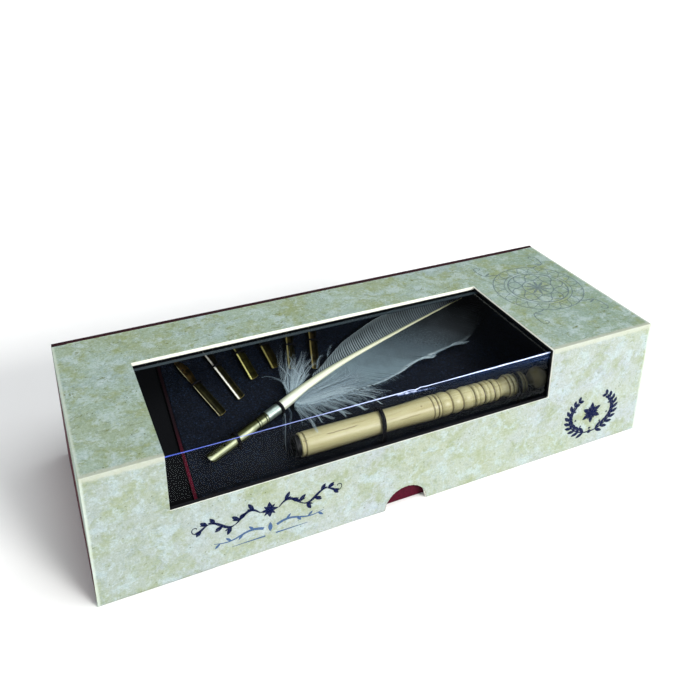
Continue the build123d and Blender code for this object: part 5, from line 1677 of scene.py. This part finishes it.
plume([(129, 72.5, 2.8), (131.5, 76.5, 3.0), (134.5, 79.5, 2.6)], hairs=5, width=0.8, r0=0.040, tint=(0.2, 0.8), fuzz=0.2)

# long arcs over the lower vane and along the fringe
spray([(104.0, 51.6, 1.6), (112.0, 55.6, 2.9), (122.0, 58.2, 3.6), (132.0, 62.2, 3.4)],
      [(104.6, 51.0, 1.5), (116.0, 52.6, 2.6), (132.0, 53.6, 3.3), (150.0, 54.6, 3.0)], 11,
      hairs=6, width=1.2, tint=(0.15, 0.7), r0=0.050, fuzz=0.35, fuzz_len=1.4, curl=0.7)
spray([(103.8, 51.0, 1.4), (112.0, 51.6, 2.5), (126.0, 52.4, 3.1), (143.0, 51.4, 2.6)],
      [(103.6, 50.4, 1.2), (112.0, 49.0, 2.3), (122.0, 48.8, 2.8), (134.0, 50.0, 2.6)], 12,
      hairs=9, width=1.5, tint=(0.0, 0.5), r0=0.058, fuzz=0.5, fuzz_len=1.5, curl=0.6)

def lifted(pts):
    """Lifts the points of a wisp that would touch the holder, with some millimetres of travel to spare."""
    return [(x, s, max(z, 5.15 + math.sqrt(max(0.0, 6.5 ** 2 - (s - 1.3 - 28.0) ** 2)) + 0.6) if s < 36.0 else z) for x, s, z in pts]


# flames that hang from the fringe towards the holder
for x0, s0, x1, s1, z1, hs in ((103.6, 50.8, 104.4, 36.4, 5.0, 5), (104.4, 50.4, 105.4, 31.0, 10.8, 8),
                               (105.6, 50.2, 107.6, 35.2, 7.0, 7), (107.5, 49.9, 111.0, 34.0, 8.6, 8),
                               (109.5, 49.7, 114.2, 36.2, 6.4, 8), (111.5, 49.6, 118.4, 35.4, 7.0, 9),
                               (114.5, 49.4, 121.6, 34.2, 8.4, 8), (117.0, 49.3, 125.0, 36.6, 6.4, 8),
                               (120.0, 49.2, 128.6, 34.6, 8.2, 8), (123.5, 49.2, 132.8, 36.0, 6.4, 8),
                               (127.0, 49.2, 136.6, 34.8, 7.8, 8), (130.5, 49.2, 140.6, 36.8, 5.8, 7),
                               (134.0, 49.4, 146.0, 37.8, 5.0, 7), (138.0, 49.6, 150.6, 40.6, 4.0, 6)):
    dx, ds = x1 - x0, s1 - s0
    plume(lifted([(x0, s0, 1.4), (x0 + dx * 0.34, s0 + ds * 0.22, 2.6), (x0 + dx * 0.68, s0 + ds * 0.58, (2.6 + z1) / 2), (x1, s1, z1)]),
          hairs=hs, width=1.7, tint=(0.0, 0.5), r0=0.060, fuzz=0.35, fuzz_len=1.4, curl=0.8, cut_range=(0.55, 1.0))
    plume([(x0 + 1.5, s0 + 0.6, 1.4), (x0 + dx * 0.5 + 1.0, s0 + ds * 0.22, 2.4), (x0 + dx * 0.84 + 1, s0 + ds * 0.50, (2.4 + z1) / 2),
           (x1 + rnd.uniform(1.0, 4.0), s1 + rnd.uniform(1.5, 5.0), z1)],
          hairs=max(4, hs // 2), width=1.4, tint=(0.2, 0.8), r0=0.050, fuzz=0.35, fuzz_len=1.3, curl=0.9, cut_range=(0.6, 1.0))
# brighter wisps down to the holder, and one over it
for x0, s0, x1, s1, z1, hs, bend in ((104.4, 50.4, 104.9, 29.4, 11.2, 12, 0.6), (106.4, 50.0, 109.6, 33.6, 9.2, 10, 1.4),
                                     (110.0, 49.8, 115.0, 34.6, 7.6, 12, -1.2), (114.0, 49.6, 121.4, 33.2, 9.6, 10, 1.8),
                                     (118.6, 49.4, 124.0, 35.0, 7.0, 12, -1.6), (122.8, 49.4, 131.6, 34.0, 9.0, 10, 1.6),
                                     (128.0, 49.4, 134.2, 36.0, 6.4, 9, -1.2), (132.0, 49.4, 142.8, 36.6, 6.4, 8, 1.6)):
    dx, ds = x1 - x0, s1 - s0
    plume(lifted([(x0, s0, 1.5), (x0 + dx * 0.30 + bend, s0 + ds * 0.28, 3.0), (x0 + dx * 0.62 + bend, s0 + ds * 0.64, 2.0 + 0.6 * z1),
                  (x1, s1, z1), (x1 + 0.6 - bend * 0.5, s1 - 1.6, z1 + 0.2)]),
          hairs=hs, width=0.9, tint=(0.0, 0.3), r0=0.078, fuzz=0.40, fuzz_len=1.1, curl=0.45, cut_range=(0.72, 1.0), rise=0.3)
plume([(103.5, 51.2, 1.4), (104.4, 47.6, 2.0), (104.0, 43.0, 2.6), (102.5, 38.5, 2.6)], hairs=5, width=1.0, r0=0.045, tint=(0.3, 0.9))
# strands that fall away on the left
plume([(98, 50.5, 0.6), (96.2, 45.0, 1.2), (94.2, 39.0, 0.8), (92.4, 32.5, 0.0), (91.8, 28.0, -0.5)], hairs=5, width=1.6, r0=0.040,
      tint=(0.3, 0.9), fuzz=0.15, cut_range=(0.7, 1.0))
plume([(100, 51.0, 0.8), (99.5, 47.0, 1.4), (97.5, 42.0, 1.6), (96.5, 38.0, 1.6)], hairs=4, width=1.0, r0=0.040, tint=(0.3, 0.9),
      fuzz=0.15)
# comb of fine hairs past the fringe
for i in range(34):
    x0 = 134.0 + 0.72 * i
    s0 = 51.6 + 0.10 * (x0 - 134.0)
    ln = 9.5 - 0.14 * i + rnd.uniform(-1.0, 1.0)
    plume([(x0, s0, 2.4), (x0 + ln * 0.4, s0 - 0.9, 2.4), (x0 + ln * 0.8, s0 - 2.6, 1.6), (x0 + ln, s0 - 3.8, 1.0)], hairs=2, width=0.3,
          r0=0.034, tint=(0.45, 1.0), fuzz=0.0, curl=0.15, rise=0.1)
# bright frayed rim of the lower vane and its two flicks
rim_x = [146, 152, 158, 164, 170, 175, 179, 183, 188, 194, 199, 204, 209]
for i in range(len(rim_x) - 3):
    line = []
    for x0 in rim_x[i:i + 4]:
        line.append((x0, outline_at(LOWER, x0) - 0.1, shaft_at(x0)[1] - 0.75 + 0.35 * (x0 in (183, 204))))
    plume(line, hairs=9 if i < 5 else 6, width=0.7, tint=(0.0, 0.45) if i < 6 else (0.4, 0.9), r0=0.050 if i < 7 else 0.036, fuzz=0.35,
          fuzz_len=0.9, curl=0.15)
plume([(176.5, 58.4, 1.9), (180.0, 58.0, 2.3), (183.0, 56.9, 2.6), (185.6, 57.6, 2.7)], hairs=12, width=1.0, tint=(0.0, 0.2), r0=0.06, fuzz=0.5,
      fuzz_len=0.9)
plume([(196.5, 61.4, 2.0), (200.5, 61.6, 2.4), (204.5, 60.6, 2.8), (208.4, 60.8, 2.9)], hairs=12, width=1.0, tint=(0.0, 0.3), r0=0.06, fuzz=0.5,
      fuzz_len=0.9)
down_ob = pile.make("feather_down_hairs", [DOWN])
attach(down_ob, "feather_pen")

# ---------------------------------------------------------------------------
# Floor, light, camera
# ---------------------------------------------------------------------------
fm = M("pale_floor")
g = fm.noise(0.01, 3, 0.5)
fm.principled(Base_Color=fm.ramp(g, [(0.3, (0.90, 0.90, 0.90)), (0.7, (0.93, 0.93, 0.925))]), Roughness=0.9)
fm.bsdf.inputs["Specular IOR Level"].default_value = 0.1
floor = mesh_obj("pale_floor", [(-9000, -9000, -0.02), (9000, -9000, -0.02), (9000, 9000, -0.02), (-9000, 9000, -0.02)], [(0, 1, 2, 3)], [fm], False)

sc = bpy.context.scene
w = bpy.data.worlds.new("studio")
sc.world = w
w.use_nodes = True
nt = w.node_tree
bg = nt.nodes["Background"]
tc = nt.nodes.new("ShaderNodeTexCoord")
sx = nt.nodes.new("ShaderNodeSeparateXYZ")
nt.links.new(tc.outputs["Generated"], sx.inputs[0])
mr = nt.nodes.new("ShaderNodeMapRange")
mr.interpolation_type = "SMOOTHSTEP"
mr.inputs["From Min"].default_value, mr.inputs["From Max"].default_value = 0.35, -0.60
mr.inputs["To Min"].default_value, mr.inputs["To Max"].default_value = 0.035, 0.34
nt.links.new(sx.outputs[1], mr.inputs[0])
nt.links.new(mr.outputs[0], bg.inputs["Strength"])
bg.inputs["Color"].default_value = (0.93, 0.97, 1.0, 1.0)


def area(name, loc, target, sx_, sy_, power, colour=(1, 1, 1)):
    li = bpy.data.lights.new(name, "AREA")
    li.shape = "RECTANGLE"
    li.size, li.size_y = sx_, sy_
    li.energy = power
    li.color = colour
    ob = link(bpy.data.objects.new(name, li))
    ob.location = loc
    ob.rotation_mode = "QUATERNION"
    ob.rotation_quaternion = (Vector(target) - Vector(loc)).to_track_quat("-Z", "Y")
    return ob


def sun(name, direction_to, power, angle, colour=(1, 1, 1), glossy=True):
    li = bpy.data.lights.new(name, "SUN")
    li.energy = power
    li.angle = math.radians(angle)
    li.color = colour
    ob = link(bpy.data.objects.new(name, li))
    ob.rotation_mode = "QUATERNION"
    ob.rotation_quaternion = (-Vector(direction_to)).to_track_quat("-Z", "Y")
    ob.visible_glossy = glossy
    return ob


sun("key_front_right", (0.42, -0.82, 0.42), 3.1, 20, (1.0, 0.99, 0.965))
sun("overhead_right", (0.36, -0.16, 0.92), 1.85, 50, (0.97, 0.99, 1.0))
sun("left_low", (-0.95, -0.18, 0.22), 2.0, 26, glossy=False)
area("right_near", (0.50, -0.60, 0.26), (0.10, 0, 0.03), 0.45, 0.35, 3.6, (1.0, 0.99, 0.97))

cam = bpy.data.cameras.new("camera")
cam_ob = link(bpy.data.objects.new("camera", cam))
R = ((0.9102, -0.41412, 0.00601), (0.15316, 0.35006, 0.92412), (-0.3848, -0.84022, 0.38205))
cam_ob.rotation_mode = "QUATERNION"
cam_ob.rotation_quaternion = Matrix(R).transposed().to_quaternion()
cam_ob.location = Vector((-146.44, -307.91, 272.12)) * MM
cam.sensor_width = 36.0
cam.lens = 796.4 * 36.0 / 700.0
cam.shift_y = -0.2
cam.clip_start, cam.clip_end = 0.01, 60.0
sc.camera = cam_ob
sc.view_settings.view_transform = "Standard"
sc.view_settings.look = "None"
sc.cycles.max_bounces = 10
sc.cycles.transparent_max_bounces = 24
